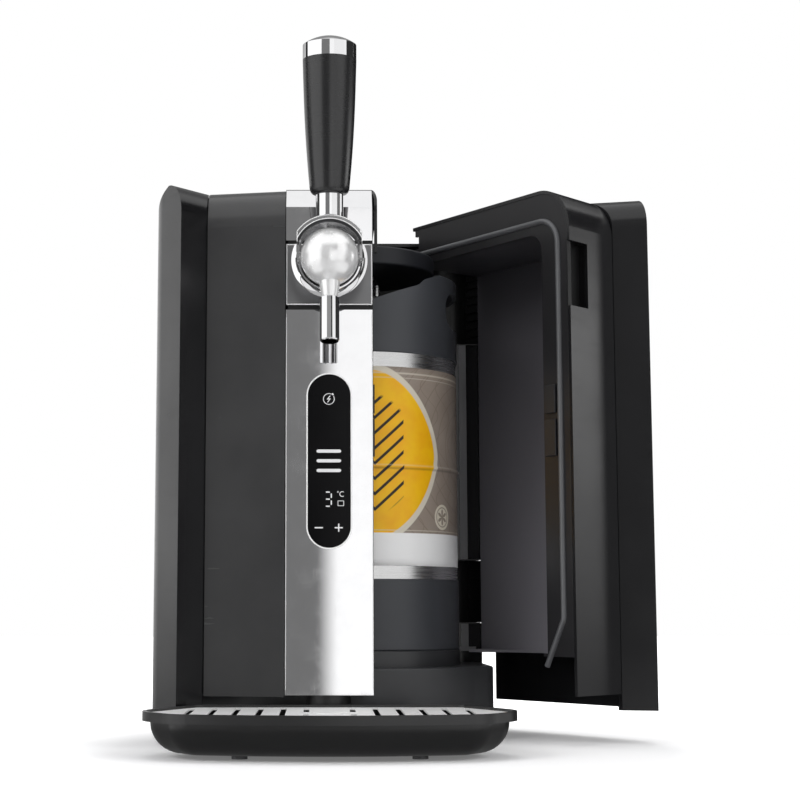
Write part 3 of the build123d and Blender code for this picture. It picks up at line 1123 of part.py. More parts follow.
def hinge_bracket(low, high):
    """Two lugs on a back plate that is screwed to the rear housing's side."""
    for bottom in (low - LUG_GAP - LUG_T, high + LUG_GAP):
        disc(LUG_R, bottom, bottom + LUG_T, at=(HINGE,))
        block((HINGE_X - LUG_R, HINGE_X + LUG_R), (HINGE_Y, BRACKET_Y), (bottom, bottom + LUG_T))
    reach = LUG_GAP + LUG_T
    plate_x = (HINGE_X - LUG_R - 4, REAR_HALF_WIDTH - SKIN)
    block(plate_x, (BRACKET_Y, BRACKET_Y + BRACKET_T), (low - reach, high + reach))
    disc(HINGE_PIN_R, 0, FAR * 3, Mode.SUBTRACT, at=(HINGE,))


with BuildPart() as hinge_arm_lower:
    hinge_arm(*ARM_LOWER)
save(hinge_arm_lower, "hinge_arm_lower")

with BuildPart() as hinge_arm_upper:
    hinge_arm(*ARM_UPPER)
save(hinge_arm_upper, "hinge_arm_upper")

with BuildPart() as hinge_bracket_lower:
    hinge_bracket(*ARM_LOWER)
save(hinge_bracket_lower, "hinge_bracket_lower")

with BuildPart() as hinge_bracket_upper:
    hinge_bracket(*ARM_UPPER)
save(hinge_bracket_upper, "hinge_bracket_upper")

with BuildPart() as hinge_pins:
    for low, high in (ARM_LOWER, ARM_UPPER):
        lug = LUG_GAP + LUG_T
        disc(HINGE_PIN_R, low - lug, high + lug, at=(HINGE,))
        disc(HINGE_PIN_R + 2, high + lug, high + lug + 2, at=(HINGE,))
save(hinge_pins, "hinge_pins")

# --- drip tray -------------------------------------------------------------------------------------
RIM_LOW_Z = RIM_TOP_Z - RIM_H


def tray_outline(plan, gap):
    """Draw the tray into a plan, shrunk by a gap: a bowed front, full cheeks and tapering back corners."""
    bow_x = TRAY_HALF - 23.5
    bow_y = TRAY_FRONT_Y + TRAY_BOW - sqrt(TRAY_BOW**2 - bow_x**2)
    cheek = (TRAY_HALF + 8, TRAY_FRONT_Y + 65)
    corner = (TRAY_HALF - 32.5, TRAY_BACK_Y)
    with BuildLine() as outline:
        ThreePointArc((-bow_x, bow_y), (0, TRAY_FRONT_Y), (bow_x, bow_y))
        across = [(-corner[0], corner[1]), (-cheek[0], cheek[1]), (-bow_x, bow_y)]
        Polyline((bow_x, bow_y), cheek, corner, *across)
    make_face(outline.edges())
    fillet(plan.vertices().group_by(Axis.Y)[0], 35)
    fillet(plan.vertices().group_by(Axis.Y)[-1], 12)
    fillet(plan.vertices().group_by(Axis.X)[-1] + plan.vertices().group_by(Axis.X)[0], 45)
    if gap:
        offset(amount=-gap, mode=Mode.REPLACE)


def tray_slab(gap, low, high, mode=Mode.ADD):
    """A slab with the tray's outline between two heights."""
    with BuildSketch(Plane.XY.offset(low)) as slab:
        tray_outline(slab, gap)
    extrude(slab.sketch, amount=high - low, mode=mode)


with BuildPart() as bowl_hollow:
    tray_slab(BOWL_INSET + BOWL_WALL, BOWL_LOW_Z + BOWL_WALL, RIM_LOW_Z + 1)
    fillet(bowl_hollow.faces().sort_by(Axis.Z)[0].edges(), BOWL_ROUND - BOWL_WALL)

with BuildPart() as tray_bowl:
    tray_slab(BOWL_INSET, BOWL_LOW_Z, RIM_LOW_Z)
    fillet(tray_bowl.faces().sort_by(Axis.Z)[0].edges(), BOWL_ROUND)
    add(bowl_hollow.part, mode=Mode.SUBTRACT)
save(tray_bowl, "tray_bowl")

TRAY_FEET_Y = (TRAY_FRONT_Y + 48, TRAY_BACK_Y - 40)
with BuildPart() as tray_feet:
    disc(TRAY_FOOT_R, 0, BOWL_LOW_Z, at=[(x, y) for x in (-TRAY_FOOT_X, TRAY_FOOT_X) for y in TRAY_FEET_Y])
save(tray_feet, "tray_feet")

LEDGE = 8.0
PLATE_Z = RIM_TOP_Z - 3.2
with BuildPart() as grille_frame:
    tray_slab(0, RIM_LOW_Z, RIM_TOP_Z)
    tray_slab(RIM_WALL, PLATE_Z, RIM_TOP_Z + 1, Mode.SUBTRACT)
    tray_slab(LEDGE, RIM_LOW_Z - 1, PLATE_Z + 1, Mode.SUBTRACT)
save(grille_frame, "grille_frame")

SLOT_PITCH = 18.0
SLOT_W = 4.6
GLASS_Y = (TRAY_FRONT_Y + TRAY_BACK_Y) / 2 - 6
BOSS = 14.0
with BuildPart() as grille_plate:
    tray_slab(RIM_WALL + GRILLE_GAP, PLATE_Z, PLATE_Z + GRILLE_T)
    with BuildSketch(Plane.XY.offset(PLATE_Z - 1)) as slots:
        for step in range(2, 7):
            x = SLOT_PITCH * step
            back = TRAY_BACK_Y - 10 - 16 * (step / 6) ** 2
            front = TRAY_FRONT_Y + 11 + 24 * (step / 6) ** 3
            if step == 6:
                front += 6
            with Locations((-x, (front + back) / 2), (x, (front + back) / 2)):
                SlotOverall(back - front, SLOT_W, rotation=90)
        for x in (-SLOT_PITCH, SLOT_PITCH):
            with Locations((x, GLASS_Y + 36), (x, GLASS_Y - 36)):
                SlotOverall(46, SLOT_W, rotation=90)
    extrude(amount=GRILLE_T + 2, mode=Mode.SUBTRACT)
    disc(BOSS, PLATE_Z + GRILLE_T, PLATE_Z + GRILLE_T + 0.8, at=((0, GLASS_Y),))
save(grille_plate, "grille_plate")
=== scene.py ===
"""Mini keg beer dispenser: finishes, printed pieces, trim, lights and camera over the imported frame."""

import json
import math

import bmesh
import bpy
import numpy as np
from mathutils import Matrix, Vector


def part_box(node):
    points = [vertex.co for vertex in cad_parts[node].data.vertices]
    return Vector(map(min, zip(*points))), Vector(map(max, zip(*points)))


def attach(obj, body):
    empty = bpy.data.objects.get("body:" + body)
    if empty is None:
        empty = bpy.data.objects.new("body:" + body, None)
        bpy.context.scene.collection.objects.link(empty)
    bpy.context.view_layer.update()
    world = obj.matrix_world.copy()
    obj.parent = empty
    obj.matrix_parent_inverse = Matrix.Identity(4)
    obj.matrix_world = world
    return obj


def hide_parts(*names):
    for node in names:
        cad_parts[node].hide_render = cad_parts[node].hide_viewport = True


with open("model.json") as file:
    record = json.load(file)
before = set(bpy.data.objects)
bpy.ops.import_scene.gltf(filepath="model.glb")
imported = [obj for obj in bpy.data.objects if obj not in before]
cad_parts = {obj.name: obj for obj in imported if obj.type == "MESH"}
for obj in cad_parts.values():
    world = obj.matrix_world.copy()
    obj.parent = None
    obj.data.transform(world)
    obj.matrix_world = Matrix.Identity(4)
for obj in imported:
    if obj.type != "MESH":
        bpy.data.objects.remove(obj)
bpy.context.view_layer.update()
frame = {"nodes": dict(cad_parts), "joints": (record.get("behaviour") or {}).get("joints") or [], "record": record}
nodes = frame["nodes"]

MM = 0.001
TURN = 2 * math.pi

# The hinge line, how far the door stands open and the ball's centre, from the frame's joints
JOINTS = {joint["name"]: joint for joint in frame["joints"]}
HINGE = np.array(JOINTS["door_swing"]["pos_m"][:2], float)
DOOR_OPEN = -math.radians(JOINTS["door_swing"]["range_deg"][0])
BALL = np.array(JOINTS["lever_pull"]["pos_m"], float)

# The keg's axis and the forward lean of the lever's stem
KEG = np.array([0.027, -0.020])
STEM_LEAN = math.radians(4)

# Faces and corners of the frame's pieces
DISPLAY_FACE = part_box("display_glass")[0].y
TAP_PLATE = [np.array(corner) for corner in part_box("column_tap_plate")]
LABEL_BOX = [np.array(corner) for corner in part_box("keg_label")]
LABEL_R = (LABEL_BOX[1][0] - LABEL_BOX[0][0]) / 2
YOKE = [np.array(corner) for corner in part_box("lever_yoke")]

# Points of one piece that are closer than this are merged, in metres
SAME_POINT = 0.00001


# ---------------------------------------------------------------- surfaces


def skin(grid, rows_closed=False, columns_closed=False):
    """Quads between neighbouring points of a grid. A closed way joins its last point to its first."""
    rows, columns = grid.shape[:2]
    index = np.arange(rows * columns).reshape(rows, columns)
    if rows_closed:
        index = np.vstack([index, index[:1]])
    if columns_closed:
        index = np.hstack([index, index[:, :1]])
    faces = np.stack([index[:-1, :-1], index[1:, :-1], index[1:, 1:], index[:-1, 1:]], axis=-1)
    return grid.reshape(-1, 3), faces.reshape(-1, 4)


def build(name, skins, finish, body, flat_angle=40, outward=True, uv=None):
    """One mesh object from a list of skins, with doubles merged, faces turned outwards and smooth shading."""
    points = np.vstack([part[0] for part in skins])
    starts = np.cumsum([0] + [len(part[0]) for part in skins[:-1]])
    faces = np.vstack([part[1] + start for part, start in zip(skins, starts)])
    mesh = bpy.data.meshes.new(name)
    mesh.from_pydata(points.tolist(), [], faces.tolist())
    if uv is not None:
        layer = mesh.uv_layers.new(name="wrap")
        corners = np.empty(len(mesh.loops), dtype=np.int32)
        mesh.loops.foreach_get("vertex_index", corners)
        layer.data.foreach_set("uv", uv[corners].ravel())
    shape = bmesh.new()
    shape.from_mesh(mesh)
    bmesh.ops.remove_doubles(shape, verts=shape.verts, dist=SAME_POINT)
    bmesh.ops.dissolve_degenerate(shape, edges=shape.edges, dist=SAME_POINT / 2)
    if outward:
        bmesh.ops.recalc_face_normals(shape, faces=shape.faces)
    shape.to_mesh(mesh)
    shape.free()
    mesh.polygons.foreach_set("use_smooth", [True] * len(mesh.polygons))
    mesh.set_sharp_from_angle(angle=math.radians(flat_angle))
    piece = bpy.data.objects.new(name, mesh)
    bpy.context.scene.collection.objects.link(piece)
    mesh.materials.append(finish)
    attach(piece, body)
    return piece


def unit(vector):
    """Each vector divided by its own length."""
    return vector / np.maximum(np.linalg.norm(vector, axis=-1, keepdims=True), 1e-12)


def swept(path, across, up, section):
    """Carries a section (n, 2) along a path (m, 3): point = path + section u * across + section v * up."""
    grid = (
        path[:, None, :]
        + section[None, :, :1] * across[:, None, :]
        + section[None, :, 1:] * up[:, None, :]
    )
    return skin(grid, columns_closed=True)


def cap(ring):
    """Closes a ring of points with a fan of faces to its middle."""
    middle = np.broadcast_to(ring.mean(axis=0), ring.shape)
    return skin(np.stack([ring, middle]), columns_closed=True)


def turned(profile, centre, axis, start, steps):
    """Turns a profile of (radius, height) rows about an axis.

    Point = centre + height * axis + radius * start, with start turned by the step's angle."""
    axis, start = unit(np.array(axis, float)), unit(np.array(start, float))
    side = np.cross(axis, start)
    angle = np.linspace(0, TURN, steps, endpoint=False)
    spoke = np.cos(angle)[:, None] * start + np.sin(angle)[:, None] * side
    profile = np.array(profile, float)
    grid = (
        np.array(centre)
        + profile[None, :, 1:] * axis
        + profile[None, :, :1] * spoke[:, None, :]
    )
    return skin(grid, rows_closed=True)


def rounded_path(corners, radii, steps):
    """A line through 2-D corners, each cut by an arc of its radius that touches both its sides."""
    corners = np.array(corners, float)
    points = [corners[:1]]
    for before, here, after, radius in zip(corners, corners[1:], corners[2:], radii):
        back, ahead = unit(before - here), unit(after - here)
        half = math.acos(float(np.clip(np.dot(back, ahead), -1, 1))) / 2
        middle = here + unit(back + ahead) * radius / math.sin(half)
        first = here + back * radius / math.tan(half) - middle
        last = here + ahead * radius / math.tan(half) - middle
        share = np.linspace(0, 1, steps)[:, None]
        points.append(middle + unit((1 - share) * first + share * last) * radius)
    points.append(corners[-1:])
    return np.vstack(points)


def swung(points):
    """The closed door's points turned about the hinge line to where the door stands open."""
    cosine, sine = math.cos(DOOR_OPEN), math.sin(DOOR_OPEN)
    turn = np.array([[cosine, sine], [-sine, cosine]])
    moved = points.copy()
    moved[..., :2] = (points[..., :2] - HINGE) @ turn + HINGE
    return moved


# ---------------------------------------------------------------- finishes


class Nodes:
    """Short calls to add nodes to one tree and join them."""

    def __init__(self, tree):
        self.tree = tree

    def add(self, kind, **values):
        node = self.tree.nodes.new(kind)
        for name, value in values.items():
            setattr(node, name, value)
        return node

    def join(self, output, target):
        if isinstance(output, (int, float, tuple)):
            target.default_value = output
        else:
            self.tree.links.new(output, target)

    def math(self, operation, first, second=None):
        node = self.add("ShaderNodeMath", operation=operation)
        for value, target in zip((first, second), node.inputs):
            if value is not None:
                self.join(value, target)
        return node.outputs[0]

    def place(self):
        """Object coordinates, in metres."""
        return self.add("ShaderNodeTexCoord").outputs["Object"]

    def split(self, vector):
        node = self.add("ShaderNodeSeparateXYZ")
        self.join(vector, node.inputs[0])
        return tuple(node.outputs)

    def noise(self, vector, scale, detail=3.0, roughness=0.5):
        node = self.add("ShaderNodeTexNoise")
        self.join(vector, node.inputs["Vector"])
        self.join(scale, node.inputs["Scale"])
        node.inputs["Detail"].default_value = detail
        node.inputs["Roughness"].default_value = roughness
        return node.outputs["Fac"]

    def stretched(self, vector, scale):
        node = self.add("ShaderNodeMapping")
        self.join(vector, node.inputs["Vector"])
        node.inputs["Scale"].default_value = scale
        return node.outputs[0]

    def mix(self, share, first, second):
        node = self.add("ShaderNodeMix", data_type="RGBA")
        self.join(share, node.inputs[0])
        self.join(first, node.inputs[6])
        self.join(second, node.inputs[7])
        return node.outputs[2]

    def spread(self, value, low, high, to_low, to_high):
        node = self.add("ShaderNodeMapRange", clamp=True)
        for item, target in zip((value, low, high, to_low, to_high), node.inputs):
            self.join(item, target)
        return node.outputs[0]

    def shaded(self, colour, share):
        node = self.add("ShaderNodeVectorMath", operation="SCALE")
        self.join(colour, node.inputs[0])
        self.join(share, node.inputs["Scale"])
        return node.outputs[0]

    def bump(self, height, strength, distance):
        node = self.add("ShaderNodeBump")
        self.join(distance, node.inputs["Distance"])
        self.join(strength, node.inputs["Strength"])
        self.join(height, node.inputs["Height"])
        return node.outputs[0]


# Bump distances in metres: grain and streaks, and the slow waviness of polished metal
FINE_BUMP = 0.0001
WAVE_BUMP = 0.0004


def group(name, inputs):
    """A node group that gives out a colour, a roughness and a normal, and the calls to fill it."""
    tree = bpy.data.node_groups.new(name, "ShaderNodeTree")
    kinds = {"colour": "NodeSocketColor", "value": "NodeSocketFloat", "vector": "NodeSocketVector"}
    for label, kind in inputs:
        tree.interface.new_socket(label, in_out="INPUT", socket_type=kinds[kind])
    for label, kind in (("Colour", "colour"), ("Roughness", "value"), ("Normal", "vector")):
        tree.interface.new_socket(label, in_out="OUTPUT", socket_type=kinds[kind])
    kit = Nodes(tree)
    kit.given = kit.add("NodeGroupInput").outputs
    kit.made = kit.add("NodeGroupOutput").inputs
    return kit


def moulded_group():
    """Moulded plastic: fine spark-eroded grain as bump, soft cloud in colour and gloss, faint wipe marks."""
    kit = group(
        "moulded_grain",
        [("Colour", "colour"), ("Roughness", "value"), ("Grain size", "value"), ("Grain depth", "value")],
    )
    place = kit.place()
    grain = kit.noise(place, kit.math("DIVIDE", 1.0, kit.given["Grain size"]), detail=2.0, roughness=0.6)
    cloud = kit.noise(place, 14.0, detail=4.0, roughness=0.55)
    wipe = kit.noise(kit.stretched(place, (30.0, 30.0, 260.0)), 1.0, detail=3.0)
    shade = kit.spread(cloud, 0.3, 0.7, 0.9, 1.12)
    gloss = kit.math("ADD", kit.given["Roughness"], kit.spread(cloud, 0.3, 0.7, -0.03, 0.04))
    gloss = kit.math("ADD", gloss, kit.spread(wipe, 0.55, 0.8, 0.0, 0.05))
    kit.join(kit.shaded(kit.given["Colour"], shade), kit.made["Colour"])
    kit.join(gloss, kit.made["Roughness"])
    kit.join(kit.bump(grain, kit.given["Grain depth"], FINE_BUMP), kit.made["Normal"])
    return kit.tree


def brushed_group():
    """Brushed metal: thin streaks from noise drawn out along one way, in gloss, shade and bump."""
    kit = group(
        "brushed_streaks",
        [("Colour", "colour"), ("Roughness", "value"), ("Stretch", "vector"), ("Depth", "value")],
    )
    place = kit.place()
    drawn = kit.add("ShaderNodeVectorMath", operation="MULTIPLY")
    kit.join(place, drawn.inputs[0])
    kit.join(kit.given["Stretch"], drawn.inputs[1])
    streaks = kit.noise(drawn.outputs[0], 1.0, detail=4.0, roughness=0.65)
    stain = kit.noise(place, 18.0, detail=3.0)
    shade = kit.math(
        "MULTIPLY", kit.spread(streaks, 0.25, 0.75, 0.9, 1.06), kit.spread(stain, 0.3, 0.7, 0.95, 1.04)
    )
    gloss = kit.math("ADD", kit.given["Roughness"], kit.spread(streaks, 0.25, 0.75, -0.06, 0.08))
    kit.join(kit.shaded(kit.given["Colour"], shade), kit.made["Colour"])
    kit.join(gloss, kit.made["Roughness"])
    kit.join(kit.bump(streaks, kit.given["Depth"], FINE_BUMP), kit.made["Normal"])
    return kit.tree


def polish_group():
    """Polished metal: nearly clean, with wide faint smears in gloss and a slow waviness of the surface."""
    kit = group("polished_smears", [("Colour", "colour"), ("Roughness", "value"), ("Wave", "value")])
    place = kit.place()
    smear = kit.noise(place, 55.0, detail=5.0, roughness=0.6)
    fine = kit.noise(kit.stretched(place, (900.0, 900.0, 60.0)), 1.0, detail=2.0)
    wave = kit.noise(place, 6.0, detail=1.0)
    gloss = kit.math("ADD", kit.given["Roughness"], kit.spread(smear, 0.5, 0.8, 0.0, 0.04))
    gloss = kit.math("ADD", gloss, kit.spread(fine, 0.6, 0.8, 0.0, 0.03))
    kit.join(kit.shaded(kit.given["Colour"], kit.spread(smear, 0.3, 0.7, 0.97, 1.02)), kit.made["Colour"])
    kit.join(gloss, kit.made["Roughness"])
    kit.join(kit.bump(wave, kit.given["Wave"], WAVE_BUMP), kit.made["Normal"])
    return kit.tree


MOULDED = moulded_group()
BRUSHED = brushed_group()
POLISHED = polish_group()


def material(name):
    """A new material, the calls to fill it and its Principled shader."""
    made = bpy.data.materials.new(name)
    made.use_nodes = True
    kit = Nodes(made.node_tree)
    return made, kit, kit.tree.nodes["Principled BSDF"]


def finish(name, effect, colour, roughness, metallic=0.0, **extra):
    """A Principled material whose colour, gloss and normal come from a shared effect with its own values."""
    made, kit, shader = material(name)
    shader.inputs["Metallic"].default_value = metallic
    worked = kit.add("ShaderNodeGroup", node_tree=effect)
    worked.inputs["Colour"].default_value = (*colour, 1.0)
    worked.inputs["Roughness"].default_value = roughness
    for label, value in extra.items():
        label = label.replace("_", " ")
        if label in worked.inputs:
            worked.inputs[label].default_value = value
        else:
            shader.inputs[label].default_value = value
    kit.join(worked.outputs["Colour"], shader.inputs["Base Color"])
    kit.join(worked.outputs["Roughness"], shader.inputs["Roughness"])
    kit.join(worked.outputs["Normal"], shader.inputs["Normal"])
    return made


# The door liner's painted light and shade. Depths are along the shut door's X from the hinge line, heights are Z,
# in metres
LINER_FLANGE = -0.0785
LINER_HOLLOW = -0.072
LINER_FOOT = 0.08
LINER_HEAD = 0.44
# Painted light at the foot of the liner's hollow and painted shade at its head
PAINTED_LIGHT_AT_FOOT = (0.30, 0.29, 0.32, 1)
PAINTED_SHADE_AT_HEAD = (0.050, 0.048, 0.055, 1)


def liner_painted_light(made):
    """Painted light in the door's hollow: paler there than on its flange, with painted light toward the foot and
    painted shade toward the head. Masks of place.
    """
    kit = Nodes(made.node_tree)
    shader = kit.tree.nodes["Principled BSDF"]
    plain = shader.inputs["Base Color"].links[0].from_socket
    x, y, z = kit.split(kit.place())
    deep = kit.math(
        "ADD",
        kit.math("MULTIPLY", kit.math("SUBTRACT", x, float(HINGE[0])), math.cos(DOOR_OPEN)),
        kit.math("MULTIPLY", kit.math("SUBTRACT", y, float(HINGE[1])), math.sin(DOOR_OPEN)),
    )
    mask = kit.spread(deep, LINER_FLANGE, LINER_HOLLOW, 0.0, 1.0)
    # The hollow's colour: painted light at the foot, fading to painted shade at the head
    hollow = kit.mix(kit.spread(z, LINER_FOOT, LINER_HEAD, 0.0, 1.0), PAINTED_LIGHT_AT_FOOT, PAINTED_SHADE_AT_HEAD)
    kit.join(kit.mix(mask, plain, hollow), shader.inputs["Base Color"])


case_black = finish(
    "case_black", MOULDED, (0.0105, 0.0105, 0.0115), 0.20, Grain_size=0.0005, Grain_depth=0.10
)
plastic_black = finish(
    "plastic_black", MOULDED, (0.006, 0.006, 0.0065), 0.38, Grain_size=0.0004, Grain_depth=0.25
)
liner_black = finish(
    "liner_black", MOULDED, (0.012, 0.0115, 0.013), 0.34, Grain_size=0.0006, Grain_depth=0.15
)
grip_black = finish(
    "grip_black", MOULDED, (0.010, 0.010, 0.011), 0.27, Grain_size=0.0008, Grain_depth=0.04,
    Specular_IOR_Level=0.7,
)
collar_rubber = finish(
    "collar_rubber", MOULDED, (0.044, 0.047, 0.054), 0.42, Grain_size=0.0005, Grain_depth=0.3
)
seal_grey = finish(
    "seal_grey", MOULDED, (0.075, 0.077, 0.083), 0.38, Grain_size=0.0006, Grain_depth=0.2,
    Specular_IOR_Level=0.9,
)
foam_grey = finish("foam_grey", MOULDED, (0.030, 0.030, 0.032), 0.9, Grain_size=0.0012, Grain_depth=1.0)
ceramic_white = finish(
    "ceramic_white", MOULDED, (0.80, 0.80, 0.78), 0.55, Grain_size=0.0004, Grain_depth=0.3
)
jamb_grey = finish("jamb_grey", MOULDED, (0.20, 0.20, 0.205), 0.5, Grain_size=0.0006, Grain_depth=0.2)
# A bright finish for the display's bezel, and for the painted highlights on the plates and the hood
edge_bright = finish("edge_bright", POLISHED, (0.95, 0.95, 0.95), 0.25, metallic=0.15, Wave=0.02)
board_green = finish(
    "board_green", MOULDED, (0.01, 0.09, 0.04), 0.4, Grain_size=0.0015, Grain_depth=0.4
)
tube_clear = finish(
    "tube_milky", MOULDED, (0.62, 0.66, 0.70), 0.2, Grain_size=0.0015, Grain_depth=0.05,
    Transmission_Weight=0.4,
)
glass_black = finish(
    "glass_black", MOULDED, (0.0045, 0.0045, 0.005), 0.10, Grain_size=0.002, Grain_depth=0.01,
    Specular_IOR_Level=0.08,
)
zinc_black = finish(
    "zinc_black", MOULDED, (0.016, 0.016, 0.018), 0.34, Grain_size=0.0006, Grain_depth=0.35
)
head_black = finish(
    "head_black", MOULDED, (0.008, 0.009, 0.013), 0.5, Grain_size=0.0005, Grain_depth=0.2
)
bay_black = finish(
    "bay_black", MOULDED, (0.020, 0.020, 0.019), 0.45, Grain_size=0.0005, Grain_depth=0.2
)
deck_grey = finish(
    "deck_grey", MOULDED, (0.032, 0.033, 0.036), 0.34, Grain_size=0.0005, Grain_depth=0.12
)
panel_grey = finish(
    "panel_grey", MOULDED, (0.041, 0.041, 0.042), 0.22, Grain_size=0.0005, Grain_depth=0.08
)
tray_black = finish(
    "tray_black", MOULDED, (0.011, 0.011, 0.0115), 0.30, Grain_size=0.0005, Grain_depth=0.15,
    Specular_IOR_Level=0.65,
)
chrome = finish("chrome", POLISHED, (0.86, 0.86, 0.87), 0.03, metallic=1.0, Wave=0.02)
chrome_dark = finish("chrome_dark", POLISHED, (0.27, 0.27, 0.275), 0.30, metallic=1.0, Wave=0.02)
yoke_satin = finish("yoke_satin", POLISHED, (0.42, 0.42, 0.425), 0.16, metallic=1.0, Wave=0.02)
steel_plate = finish(
    "steel_plate", BRUSHED, (0.93, 0.93, 0.93), 0.42, metallic=0.25,
    Stretch=(30.0, 900.0, 900.0), Depth=0.15,
)
steel_brushed = finish(
    "steel_brushed", BRUSHED, (0.62, 0.62, 0.62), 0.26, metallic=1.0,
    Stretch=(40.0, 900.0, 900.0), Depth=0.15,
)
steel_keg = finish(
    "steel_keg", BRUSHED, (0.70, 0.70, 0.70), 0.26, metallic=1.0,
    Stretch=(8.0, 8.0, 700.0), Depth=0.05,
)
steel_ball = finish("steel_ball", POLISHED, (0.96, 0.96, 0.96), 0.25, metallic=0.5, Wave=0.02)
aluminium = finish(
    "aluminium", BRUSHED, (0.60, 0.61, 0.62), 0.36, metallic=1.0,
    Stretch=(900.0, 900.0, 60.0), Depth=0.2,
)
# Painted light and shade in the door liner's hollow
liner_painted_light(liner_black)

SLOT_FINISH = {
    "black_case": case_black,
    "black_plastic": plastic_black,
    "chrome": chrome,
    "steel": steel_brushed,
    "keg_steel": steel_keg,
    "liner": liner_black,
    "aluminium": aluminium,
    "glass_black": glass_black,
    "foam": foam_grey,
    "rubber": collar_rubber,
    "gasket": seal_grey,
    "label": collar_rubber,
    "board": board_green,
    "ceramic": ceramic_white,
    "tube": tube_clear,
    "grip": grip_black,
    "zinc": zinc_black,
}
OWN_FINISH = {
    "tap_ball": steel_ball,
    "column_tap_plate": chrome_dark,
    "lever_yoke": yoke_satin,
    "display_bezel": edge_bright,
    "grille_plate": steel_plate,
    "dispense_head": head_black,
    "bay_liner": bay_black,
    "base_deck": deck_grey,
    "left_front_panel": panel_grey,
    "tray_bowl": tray_black,
    "tray_feet": jamb_grey,
    "door_keepers": zinc_black,
    "grille_frame": tray_black,
}
for part in frame["record"]["subparts"]:
    own = OWN_FINISH.get(part["node"], SLOT_FINISH[part["material_slot"]])
    for holder in nodes[part["node"]].material_slots:
        holder.material = own


def glowing(name, colour, strength):
    """A lit sign behind the glass: a pale face with a slight unevenness in its light."""
    made, kit, shader = material(name)
    dim = tuple(0.6 * share for share in colour)
    light = kit.spread(kit.noise(kit.place(), 400.0), 0.3, 0.7, 0.9, 1.0)
    tone = kit.mix(light, (*dim, 1.0), (*colour, 1.0))
    kit.join(tone, shader.inputs["Base Color"])
    kit.join(tone, shader.inputs["Emission Color"])
    shader.inputs["Emission Strength"].default_value = strength
    shader.inputs["Roughness"].default_value = 0.5
    return made


# The wrap's print, in metres: u is the way round from the front and v is the height
LOZENGE = (0.012, 0.242)
LOZENGE_HALF = (0.060, 0.072)
CURLS = (0.121, 0.252)
ROUNDEL = (0.083, 0.190)
STRIP_TOP = (0.1751, 0.1755)
CREAM_LINES = ((0.1775, 0.0004), (0.3120, 0.0007), (0.3080, 0.0003))
# Heights of a painted shade line under the can's rib and a painted highlight line over it
RIB_PAINTED_SHADE = 0.2302
RIB_PAINTED_HIGHLIGHT = 0.2330


